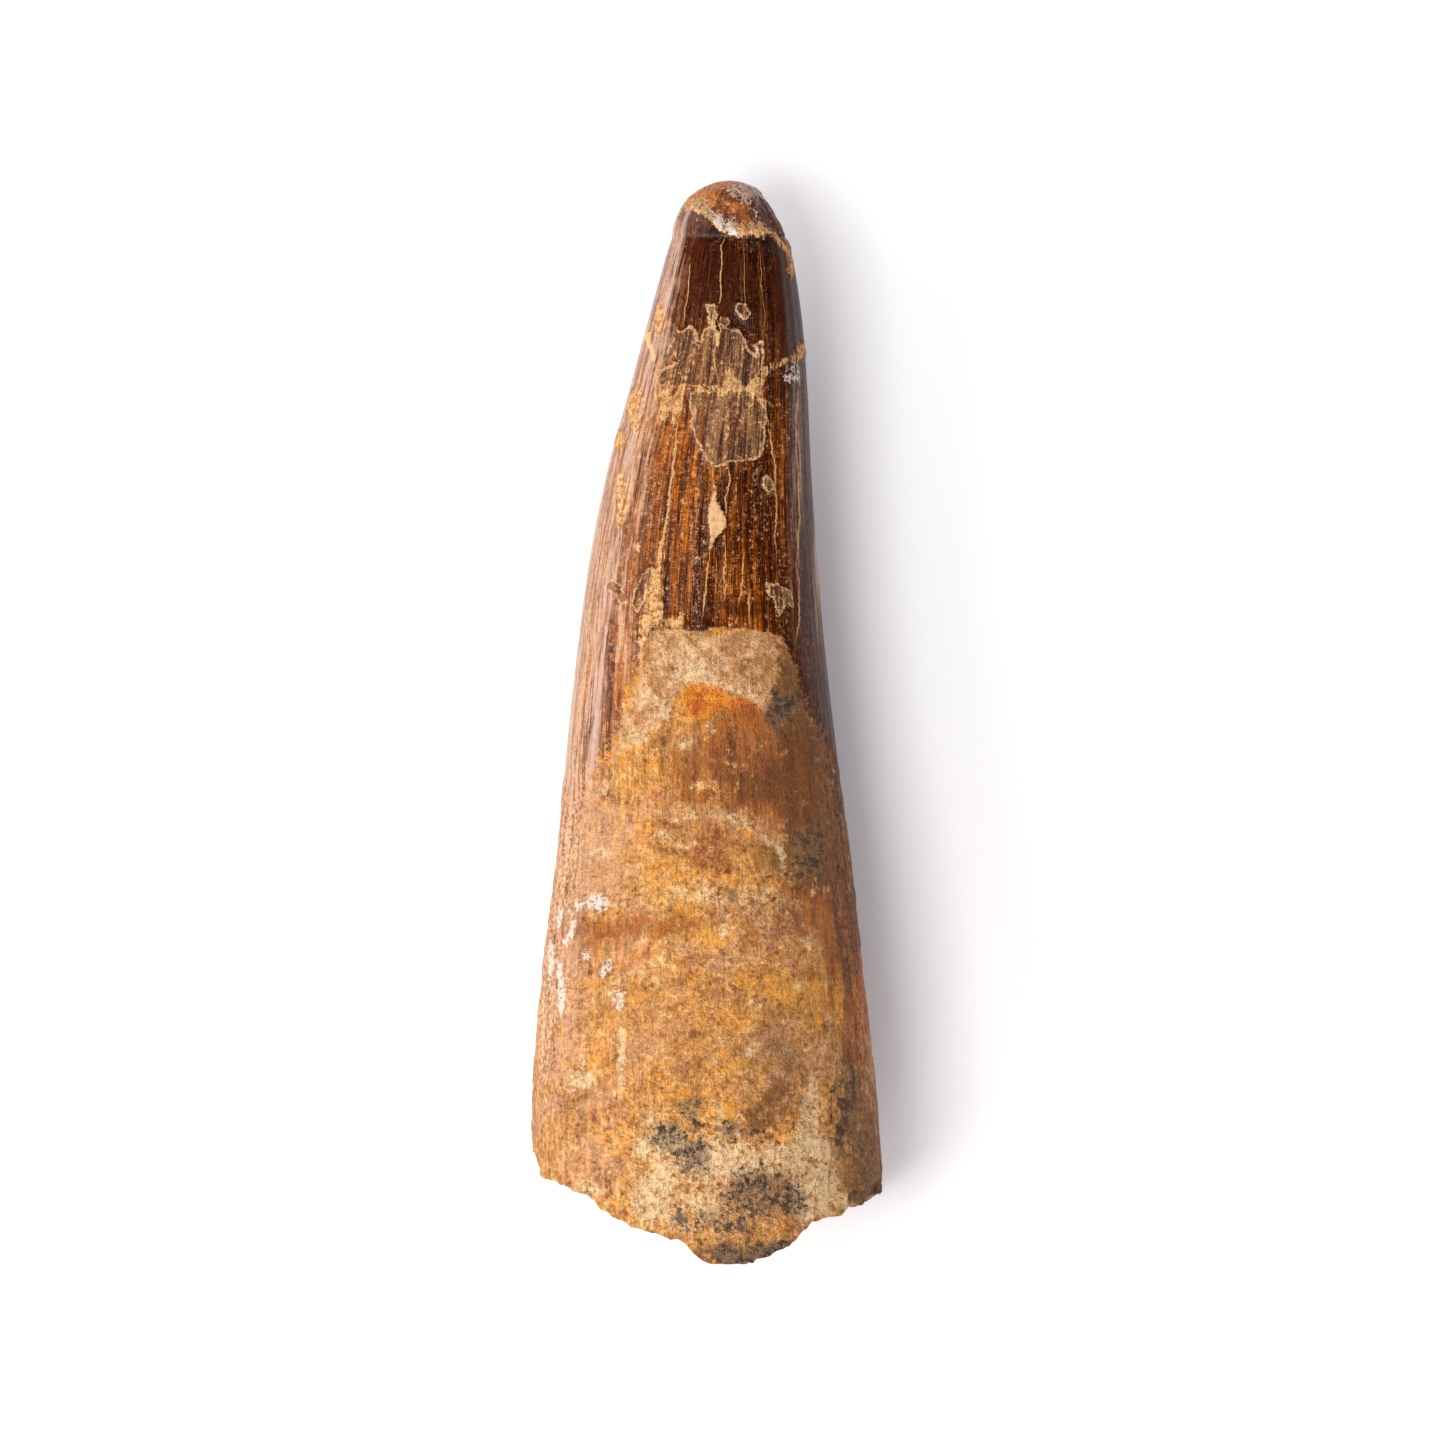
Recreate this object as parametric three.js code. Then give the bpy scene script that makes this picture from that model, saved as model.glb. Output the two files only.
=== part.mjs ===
// A fossil tooth of a large fish-eating dinosaur, lying on its side on a bench. It is one solid: a
// fluted enamel crown with a broken, worn tip, grown in one with a smooth root that ends in a ragged
// break. Millimetres. X runs across the tooth, Y along it towards the tip and Z up from the bench.
// The origin is on the bench, under the middle of the tooth's box.
import * as THREE from "three";

const { clamp, lerp, smoothstep } = THREE.MathUtils;

// Driving dimensions.
const LENGTH = 90;
const TIP_END = LENGTH / 2;
const BREAK_END = -LENGTH / 2;

// The outline seen from above: [along, left side, right side].
const OUTLINE = [
  [-47.0, -14.9, 15.0],
  [-37.4, -14.75, 14.5],
  [-29.0, -14.5, 13.85],
  [-19.9, -13.7, 12.85],
  [-11.6, -12.65, 11.95],
  [-2.4, -11.8, 10.75],
  [5.9, -10.9, 9.8],
  [13.4, -9.9, 9.15],
  [20.9, -8.4, 8.65],
  [27.5, -6.6, 8.35],
  [33.4, -5.0, 7.9],
  [38.4, -3.6, 7.15],
  [40.3, -3.0, 6.6],
];

// The worn tip is half an ellipse, from the last line of the outline to the end, leaning this far right.
// Seen from the side it is blunter, by this power.
const DOME_START = 40.3;
const TIP_LEAN = 0.15;
const TIP_BLUNTNESS = 3.2;

// How deep a section is for its width, at the break and at the tip.
const DEPTH_AT_BREAK = 0.81;
const DEPTH_AT_TIP = 0.86;

// A section is a rounded oblong: 2 would be an ellipse, and more is squarer.
const SQUARENESS = 2.25;

// The crown's upper side is a facet, flattest near the tip: how flat, as [along, share], how high it
// lies for a half depth of 1, and how softly it turns down at its shoulders.
const FACET_SHARE = [
  [-30, 0.1],
  [-8, 0.15],
  [6, 0.3],
  [16, 0.55],
  [26, 0.9],
  [38, 1.0],
  [45, 0.4],
];
const FACET_HEIGHT = 0.8;
const FACET_SOFTNESS = 0.13;
// The facet starts this far above the middle, for a half depth of 1.
const FACET_START = 0.1;

// The tooth curves up off the bench from here on, to this height at the tip.
const CURVE_START = -9;
const TIP_LIFT = 8.6;

// The underside is worn flat where it would reach below the bench by this much.
const REST_WEAR = 0.3;

// The ragged break seen from above, as [across, along], then the hidden lower lip of it.
const BREAK_UPPER = [
  [-14.7, -35.8],
  [-14.0, -37.9],
  [-12.6, -38.1],
  [-9.8, -39.4],
  [-8.8, -40.7],
  [-6.2, -42.0],
  [-2.4, -43.1],
  [-0.6, -44.4],
  [0.4, -44.9],
  [2.7, BREAK_END],
  [5.8, -44.1],
  [8.0, -42.3],
  [9.2, -41.4],
  [11.4, -40.8],
  [12.6, -40.1],
  [14.8, -39.3],
];
const BREAK_LOWER = [
  [-14.7, -35.8],
  [-11.0, -38.4],
  [-6.0, -40.6],
  [-1.0, -39.6],
  [4.0, -41.2],
  [9.0, -40.2],
  [13.0, -40.6],
  [14.8, -39.3],
];
// How far from the break the sections take to come square to the tooth.
const BREAK_REACH = 16;

// The lips of the break level out over this share of the way in, and the pulp cavity is a dish there.
const LIP_SHARE = 0.5;
const DISH_DEPTH = 2.2;
const DISH_SHARE = 0.7;
const BREAK_ROUGHNESS = 0.6;
const BREAK_LUMP = 2.8;

// The root's uneven skin starts below the enamel, with lumps this long and this many degrees wide.
const ROOT_ROUGHNESS = 0.1;
const ROOT_LUMP_START = 4;
const ROOT_LUMP_LENGTH = 2.4;
const ROOT_LUMP_ANGLE = 9;

// The crown's flutes, ridges of enamel that run to the tip, with valleys this deep between them.
const FLUTES = 16;
const FLUTE_DEPTH = 0.26;

// Soft edges along the crown's sides, by angle, and the thin cutting edges at left and right.
const SHOULDERS = [41, 139];
const SHOULDER_HEIGHT = 0.14;
const SHOULDER_SPREAD = 9;
const CUTTING_EDGES = [0, 180];
const CUTTING_EDGE_HEIGHT = 0.2;
const CUTTING_EDGE_SPREAD = 6;

// Where the enamel ends towards the root, as [angle, along], and how thick it stands there.
const ENAMEL_END = [
  [0, -8.0],
  [30, -4.0],
  [52, 6.6],
  [65, 7.4],
  [120, 7.4],
  [133, 3.5],
  [160, -2.0],
  [200, -3.5],
  [235, 1.5],
  [270, 3.0],
  [310, -1.0],
  [360, -8.0],
];
const ENAMEL_THICKNESS = 0.34;
const ENAMEL_FADE = 15;
// The ledges at both ends of the enamel are this soft, and die out towards the sides of the tooth.
const LEDGE_BLUR = 0.7;
const LEDGE_DIES_AT = 9;
const LEDGE_FULL_AT = 30;

// Where the enamel is broken off the worn tip, as [angle, along], and how far the tip lies below it.
const TIP_EDGE = [
  [0, 38.4],
  [35, 39.4],
  [60, 40.7],
  [95, 40.5],
  [125, 41.4],
  [150, 42.6],
  [180, 42.8],
  [230, 41.2],
  [300, 39.6],
  [360, 38.4],
];
const TIP_SINK = 0.4;

// Sandy crust that stands on the crown and root: across, along, half width, half length, height.
const CRUSTS = [
  [-0.6, 29.6, 4.0, 3.4, 0.22],
  [0.9, 25.0, 3.3, 3.0, 0.22],
  [-5.8, 11.0, 1.9, 2.6, 0.35],
  [0.7, 16.6, 0.9, 1.9, 0.3],
  [3.2, -10.4, 3.6, 2.2, 0.28],
  [0.8, 5.2, 5.2, 2.4, 0.26],
];
// A crust slopes off between these shares of its half size.
const CRUST_TOP = 0.85;
const CRUST_FOOT = 1.25;

// Cracks that run along the root: angle, from, to, depth.
const CRACKS = [
  [112.5, -39, -21, 0.35],
  [50.6, -38, -25, 0.3],
  [208, -36, -12, 0.3],
  [304, -37, -20, 0.35],
];
const CRACK_SPREAD = 2.5;
const CRACK_ENDS = 3;

// The shelf left at the right of the break: where it ends, and how long, sunk and soft it is.
const SHELF_ANGLE = 40;
const SHELF_LENGTH = 1.5;
const SHELF_SINK = 0.75;
const SHELF_BLUR = 0.5;
const SHELF_BLUR_ANGLE = 6;

// Facets.
const COLUMNS = 64;
const RINGS = 59;
const DOME_RINGS = 6;
const BREAK_RINGS = 8;

const DEGREES = 180 / Math.PI;

// A curve through [x, y] points, as a function of x: cubic between the points, level past the ends.
function curveThrough(points) {
  const slope = (i) => {
    const before = points[Math.max(i - 1, 0)];
    const after = points[Math.min(i + 1, points.length - 1)];
    return (after[1] - before[1]) / (after[0] - before[0]);
  };
  return (x) => {
    if (x <= points[0][0]) return points[0][1];
    if (x >= points.at(-1)[0]) return points.at(-1)[1];
    const i = points.findIndex((p) => p[0] > x) - 1;
    const [x0, y0] = points[i];
    const [x1, y1] = points[i + 1];
    const step = x1 - x0;
    const t = (x - x0) / step;
    const startShare = (1 + 2 * t) * (1 - t) ** 2;
    const endShare = t * t * (3 - 2 * t);
    const startLean = t * (1 - t) ** 2 * step * slope(i);
    const endLean = t * t * (t - 1) * step * slope(i + 1);
    return y0 * startShare + y1 * endShare + startLean + endLean;
  };
}

// Straight lines through [x, y] points, as a function of x.
function linesThrough(points) {
  return (x) => {
    if (x <= points[0][0]) return points[0][1];
    if (x >= points.at(-1)[0]) return points.at(-1)[1];
    const i = points.findIndex((p) => p[0] > x) - 1;
    const [x0, y0] = points[i];
    const [x1, y1] = points[i + 1];
    return lerp(y0, y1, (x - x0) / (x1 - x0));
  };
}

const leftSide = curveThrough(OUTLINE.map(([along, left]) => [along, left]));
const rightSide = curveThrough(OUTLINE.map(([along, , right]) => [along, right]));
const breakUpper = linesThrough(BREAK_UPPER);
const breakLower = linesThrough(BREAK_LOWER);
const facetShare = curveThrough(FACET_SHARE);
const enamelEnd = curveThrough(ENAMEL_END);
const tipEdge = curveThrough(TIP_EDGE);

// An uneven surface between -1 and 1, with lumps about one unit across.
function lumps(x, y) {
  return (
    0.5 * Math.sin(1.9 * x + 2.3 * Math.sin(0.7 * y)) +
    0.3 * Math.sin(2.9 * y + 1.7 * Math.sin(1.3 * x + 0.6)) +
    0.2 * Math.sin(4.3 * x - 3.7 * y + 1.1)
  );
}

// 1 below the first value and 0 above the second, with a soft step between.
function falling(value, from, to) {
  return 1 - smoothstep(value, from, to);
}

// A ridge of height 1 along each crest's angle, gone by about 2 spreads to either side.
function ridges(angle, crests, spread) {
  const heights = crests.map((crest) => {
    const turn = ((angle - crest + 540) % 360) - 180;
    return Math.exp(-((turn / spread) ** 2));
  });
  return Math.max(...heights);
}

// The section at a place along the tooth: its middle, half width and half depth.
function sectionAt(along) {
  const left = leftSide(Math.min(along, DOME_START));
  const right = rightSide(Math.min(along, DOME_START));
  const intoDome = clamp((along - DOME_START) / (TIP_END - DOME_START), 0, 1);
  const roundOff = Math.sqrt(1 - intoDome ** 2);
  const bluntRoundOff = (1 - intoDome ** TIP_BLUNTNESS) ** (1 / TIP_BLUNTNESS);
  const share = lerp(DEPTH_AT_BREAK, DEPTH_AT_TIP, (along - BREAK_END) / LENGTH);
  const fullWidth = (right - left) / 2;
  const lift = TIP_LIFT * (Math.max(0, along - CURVE_START) / (TIP_END - CURVE_START)) ** 2;
  return {
    middle: (left + right) / 2 + TIP_LEAN * intoDome,
    halfWidth: fullWidth * roundOff,
    halfDepth: fullWidth * share * bluntRoundOff,
    height: lift + fullWidth * share - REST_WEAR,
  };
}

// How high the smooth skin lies over a section's middle, for a half depth of 1.
function skinHeight(sin, along) {
  const plain = rounded(sin);
  if (plain <= 0) return plain;
  const raised = plain / FACET_HEIGHT;
  const bend = Math.exp(-raised / FACET_SOFTNESS) + Math.exp(-1 / FACET_SOFTNESS);
  const flat = -FACET_SOFTNESS * Math.log(bend);
  return lerp(plain, flat, facetShare(along) * smoothstep(plain, 0, FACET_START));
}

// Sandy crust on the upper side.
function crustAt(across, along) {
  const heights = CRUSTS.map(([x, y, halfWidth, halfLength, height]) => {
    const away = Math.hypot((across - x) / halfWidth, (along - y) / halfLength);
    return height * falling(away, CRUST_TOP, CRUST_FOOT);
  });
  return heights.reduce((sum, height) => sum + height);
}

function crackAt(angle, along) {
  const depths = CRACKS.map(([crack, from, to, depth]) => {
    const open = smoothstep(along, from, from + CRACK_ENDS) * falling(along, to - CRACK_ENDS, to);
    return depth * open * ridges(angle, [crack], CRACK_SPREAD);
  });
  return Math.max(...depths);
}

function shelfAt(angle, across, along) {
  const toBreak = along - breakUpper(across);
  const beside = falling(angle, SHELF_ANGLE - SHELF_BLUR_ANGLE, SHELF_ANGLE);
  return SHELF_SINK * beside * falling(toBreak, SHELF_LENGTH - SHELF_BLUR, SHELF_LENGTH);
}

// How far the real surface stands out from the smooth section, by angle in degrees.
function reliefAt(angle, along, across) {
  const turn = angle / DEGREES;
  const pastEnamel = enamelEnd(angle) - along;
  const onRoot = smoothstep(pastEnamel, -LEDGE_BLUR, LEDGE_BLUR);
  const onTip = smoothstep(along - tipEdge(angle), -LEDGE_BLUR, LEDGE_BLUR);
  const onCrown = (1 - onRoot) * (1 - onTip);
  const fromSide = Math.asin(Math.abs(Math.sin(turn))) * DEGREES;
  const ledge = smoothstep(fromSide, LEDGE_DIES_AT, LEDGE_FULL_AT);

  const shoulder = SHOULDER_HEIGHT * ridges(angle, SHOULDERS, SHOULDER_SPREAD) * (1 - onTip);
  const besideEdges = 1 - ridges(angle, CUTTING_EDGES, CUTTING_EDGE_SPREAD);
  const valley = (1 - Math.cos(turn * FLUTES)) / 2;
  const crownSink = (CUTTING_EDGE_HEIGHT * besideEdges + FLUTE_DEPTH * valley) * onCrown;
  const rootSink = ENAMEL_THICKNESS * onRoot * clamp(1 - pastEnamel / ENAMEL_FADE, 0, 1) * ledge;
  const tipSink = TIP_SINK * onTip * ledge;
  const lump = lumps(angle / ROOT_LUMP_ANGLE, along / ROOT_LUMP_LENGTH);
  const rootLump = ROOT_ROUGHNESS * smoothstep(pastEnamel, 0, ROOT_LUMP_START) * lump;
  const above = angle <= 180 ? crustAt(across, along) - shelfAt(angle, across, along) : 0;
  return shoulder + rootLump + above - crownSink - rootSink - tipSink - crackAt(angle, along);
}

// The point of the surface at an angle round the tooth, 0 at the right and 90 on top.
function surfacePoint(angle, along) {
  const section = sectionAt(along);
  const cos = Math.cos(angle / DEGREES);
  const sin = Math.sin(angle / DEGREES);
  const across = section.middle + section.halfWidth * rounded(cos);
  const outward = new THREE.Vector2(cos / section.halfWidth, sin / section.halfDepth).normalize();
  outward.multiplyScalar(reliefAt(angle, along, across));
  const height = section.height + section.halfDepth * skinHeight(sin, along) + outward.y;
  return new THREE.Vector3(across + outward.x, along, Math.max(height, 0));
}

// A sine or cosine, bent so that the section is a rounded oblong.
function rounded(value) {
  return Math.sign(value) * Math.abs(value) ** (2 / SQUARENESS);
}

// Where the break lies at an angle round the tooth.
function breakAt(angle) {
  const section = sectionAt(BREAK_END);
  const across = section.middle + section.halfWidth * rounded(Math.cos(angle / DEGREES));
  return angle <= 180 ? breakUpper(across) : breakLower(across);
}

// One ring of points, at the share of the way from the break to the start of the dome.
function sideRing(share) {
  const square = lerp(BREAK_END, DOME_START, share);
  return ringOf((angle) => {
    const ragged = breakAt(angle) - BREAK_END;
    const fade = clamp(1 - (square - BREAK_END) / BREAK_REACH, 0, 1) ** 2;
    return surfacePoint(angle, square + ragged * fade);
  });
}

function domeRing(share) {
  const along = lerp(DOME_START, TIP_END, Math.sin((share * Math.PI) / 2));
  return ringOf((angle) => surfacePoint(angle, along));
}

function ringOf(pointAt) {
  return Array.from({ length: COLUMNS }, (_, k) => pointAt((k * 360) / COLUMNS));
}

// A ring of the broken face, drawn in from the rim towards its centre.
function breakRing(rim, centre, inward) {
  return rim.map((point) => {
    const inner = point.clone().lerp(centre, inward);
    const lip = (point.y - centre.y) * falling(inward, 0, LIP_SHARE);
    const dish = DISH_DEPTH * smoothstep(inward, 1 - DISH_SHARE, 1);
    const lump = lumps(inner.x / BREAK_LUMP, inner.z / BREAK_LUMP) * Math.sin(inward * Math.PI);
    inner.y = centre.y + lip + dish + BREAK_ROUGHNESS * lump;
    return inner;
  });
}

// A closed skin through rings of points, with a single point at each end.
function closedSkin(startPoint, rings, endPoint) {
  const points = [startPoint, ...rings.flat(), endPoint];
  const index = [];
  const at = (ring, column) => 1 + ring * COLUMNS + (column % COLUMNS);
  const last = points.length - 1;
  for (let k = 0; k < COLUMNS; k += 1) {
    index.push(0, at(0, k), at(0, k + 1));
    for (let r = 0; r + 1 < rings.length; r += 1) {
      index.push(at(r, k), at(r + 1, k), at(r, k + 1));
      index.push(at(r, k + 1), at(r + 1, k), at(r + 1, k + 1));
    }
    index.push(at(rings.length - 1, k), last, at(rings.length - 1, k + 1));
  }
  const geometry = new THREE.BufferGeometry().setFromPoints(points);
  geometry.setIndex(index);
  geometry.computeVertexNormals();
  return geometry;
}

function toothGeometry() {
  const shares = (count) => Array.from({ length: count }, (_, i) => i / count);
  const sides = shares(RINGS).map(sideRing);
  const dome = shares(DOME_RINGS).map(domeRing);

  const rim = sides[0];
  const centre = rim.reduce((sum, p) => sum.add(p), new THREE.Vector3()).divideScalar(COLUMNS);
  const brokenFace = shares(BREAK_RINGS)
    .slice(1)
    .reverse()
    .map((inward) => breakRing(rim, centre, inward));
  const dishBottom = centre.clone();
  dishBottom.y += DISH_DEPTH;

  const tip = sectionAt(TIP_END);
  const tipPoint = new THREE.Vector3(tip.middle, TIP_END, tip.height);
  return closedSkin(dishBottom, [...brokenFace, ...sides, ...dome], tipPoint);
}

const tooth = new THREE.Mesh(
  toothGeometry(),
  new THREE.MeshStandardMaterial({ color: 0x8a5228, roughness: 0.5, metalness: 0 }),
);
tooth.name = "tooth";

const part = new THREE.Group();
part.add(tooth);

export default part;
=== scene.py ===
"""A fossil tooth of a large fish-eating dinosaur, lying on its side in soft studio light.

Lengths are in millimetres until the mesh is made. X runs across the tooth, Y along it towards the
tip and Z up. Marks on the surface are placed as they are seen from straight above, in pixels of the
photo's frame with y down, and are then laid on the tooth's unrolled skin.
"""

import math

import bpy
import numpy as np
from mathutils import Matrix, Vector


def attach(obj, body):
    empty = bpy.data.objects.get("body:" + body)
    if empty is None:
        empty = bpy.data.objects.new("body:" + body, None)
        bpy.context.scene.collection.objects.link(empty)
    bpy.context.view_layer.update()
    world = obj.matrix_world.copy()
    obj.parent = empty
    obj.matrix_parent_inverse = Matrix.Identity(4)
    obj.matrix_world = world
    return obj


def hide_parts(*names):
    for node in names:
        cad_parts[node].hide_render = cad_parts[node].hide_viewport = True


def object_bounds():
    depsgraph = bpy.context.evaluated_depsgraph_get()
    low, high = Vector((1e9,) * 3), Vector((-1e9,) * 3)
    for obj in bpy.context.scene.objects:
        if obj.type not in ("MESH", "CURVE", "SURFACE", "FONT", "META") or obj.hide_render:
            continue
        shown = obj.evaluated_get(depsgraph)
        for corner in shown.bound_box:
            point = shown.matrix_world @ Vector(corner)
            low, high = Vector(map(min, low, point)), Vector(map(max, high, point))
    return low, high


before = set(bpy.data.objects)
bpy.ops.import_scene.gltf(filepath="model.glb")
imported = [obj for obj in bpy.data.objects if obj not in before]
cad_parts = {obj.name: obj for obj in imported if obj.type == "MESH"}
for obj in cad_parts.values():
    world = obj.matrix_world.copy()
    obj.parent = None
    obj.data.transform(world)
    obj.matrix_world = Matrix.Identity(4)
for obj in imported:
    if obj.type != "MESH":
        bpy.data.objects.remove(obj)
cad_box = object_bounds()

# ---------------------------------------------------------------- the tooth's form, as in the CAD
LENGTH = 90.0
TIP_END = LENGTH / 2
BREAK_END = -LENGTH / 2
# Seen from above: place along the tooth, left edge and right edge.
OUTLINE = [
    (-47.0, -14.9, 15.0), (-37.4, -14.75, 14.5), (-29.0, -14.5, 13.85), (-19.9, -13.7, 12.85),
    (-11.6, -12.65, 11.95), (-2.4, -11.8, 10.75), (5.9, -10.9, 9.8), (13.4, -9.9, 9.15),
    (20.9, -8.4, 8.65), (27.5, -6.6, 8.35), (33.4, -5.0, 7.9), (38.4, -3.6, 7.15),
    (40.3, -3.0, 6.6),
]
DOME_START = 40.3
TIP_LEAN = 0.15
TIP_BLUNTNESS = 3.2
DEPTH_AT_BREAK = 0.81  # half depth over half width
DEPTH_AT_TIP = 0.86
SQUARENESS = 2.25
CURVE_START = -9.0
TIP_LIFT = 8.6
REST_WEAR = 0.3
BREAK_REACH = 16.0  # how far along the tooth the broken end's shape is felt
# The lower rim of the broken end, as x and y.
BREAK_LOWER = [
    (-14.7, -35.8), (-11.0, -38.4), (-6.0, -40.6), (-1.0, -39.6), (4.0, -41.2), (9.0, -40.2),
    (13.0, -40.6), (14.8, -39.3),
]
# Where the enamel ends towards the root and towards the tip: angle round the tooth and place along.
# The angle is 0 at the right, 90 on top and 270 underneath.
ENAMEL_END = [
    (0, -8.0), (30, -4.0), (52, 6.6), (65, 7.4), (120, 7.4), (133, 3.5), (160, -2.0), (200, -3.5),
    (235, 1.5), (270, 3.0), (310, -1.0), (360, -8.0),
]
TIP_EDGE = [
    (0, 38.4), (35, 39.4), (60, 40.7), (95, 40.5), (125, 41.4), (150, 42.6), (180, 42.8),
    (230, 41.2), (300, 39.6), (360, 38.4),
]

# ---------------------------------------------------------------- marks, in pixels of the photo
# Each outline and line gives the column and the row of its points in turn.
PIXELS_PER_MM = 12.02
ORIGIN_PIXEL = (708.0, 721.0)  # where x = 0, y = 0 lies

BREAK_UPPER = [
    531, 1150, 539, 1176, 554, 1179, 571, 1188, 590, 1195, 601, 1209, 620, 1217, 634, 1226,
    660, 1231, 682, 1239, 700, 1254, 711, 1261, 740, 1262, 760, 1257, 778, 1250, 790, 1244,
    802, 1231, 814, 1220, 830, 1216, 845, 1212, 853, 1204, 866, 1203, 880, 1201, 886, 1196,
]
# Where the enamel ends towards the root and where it is broken off the tip, on the upper side.
ENAMEL_FOOT = [
    571, 800, 600, 765, 610, 747, 615, 730, 622, 712, 627, 690, 634, 676, 645, 660, 648, 645,
    650, 634, 662, 627, 672, 630, 685, 631, 700, 631, 715, 627, 732, 628, 750, 629, 762, 632,
    776, 634, 784, 638, 790, 652, 798, 676, 808, 700, 822, 730, 838, 760,
]
TIP_RIM = [
    681, 208, 686, 204, 697, 204, 704, 211, 711, 216, 719, 222, 726, 228, 740, 230, 752, 228,
    769, 230, 777, 236, 785, 244, 791, 256,
]

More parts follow.
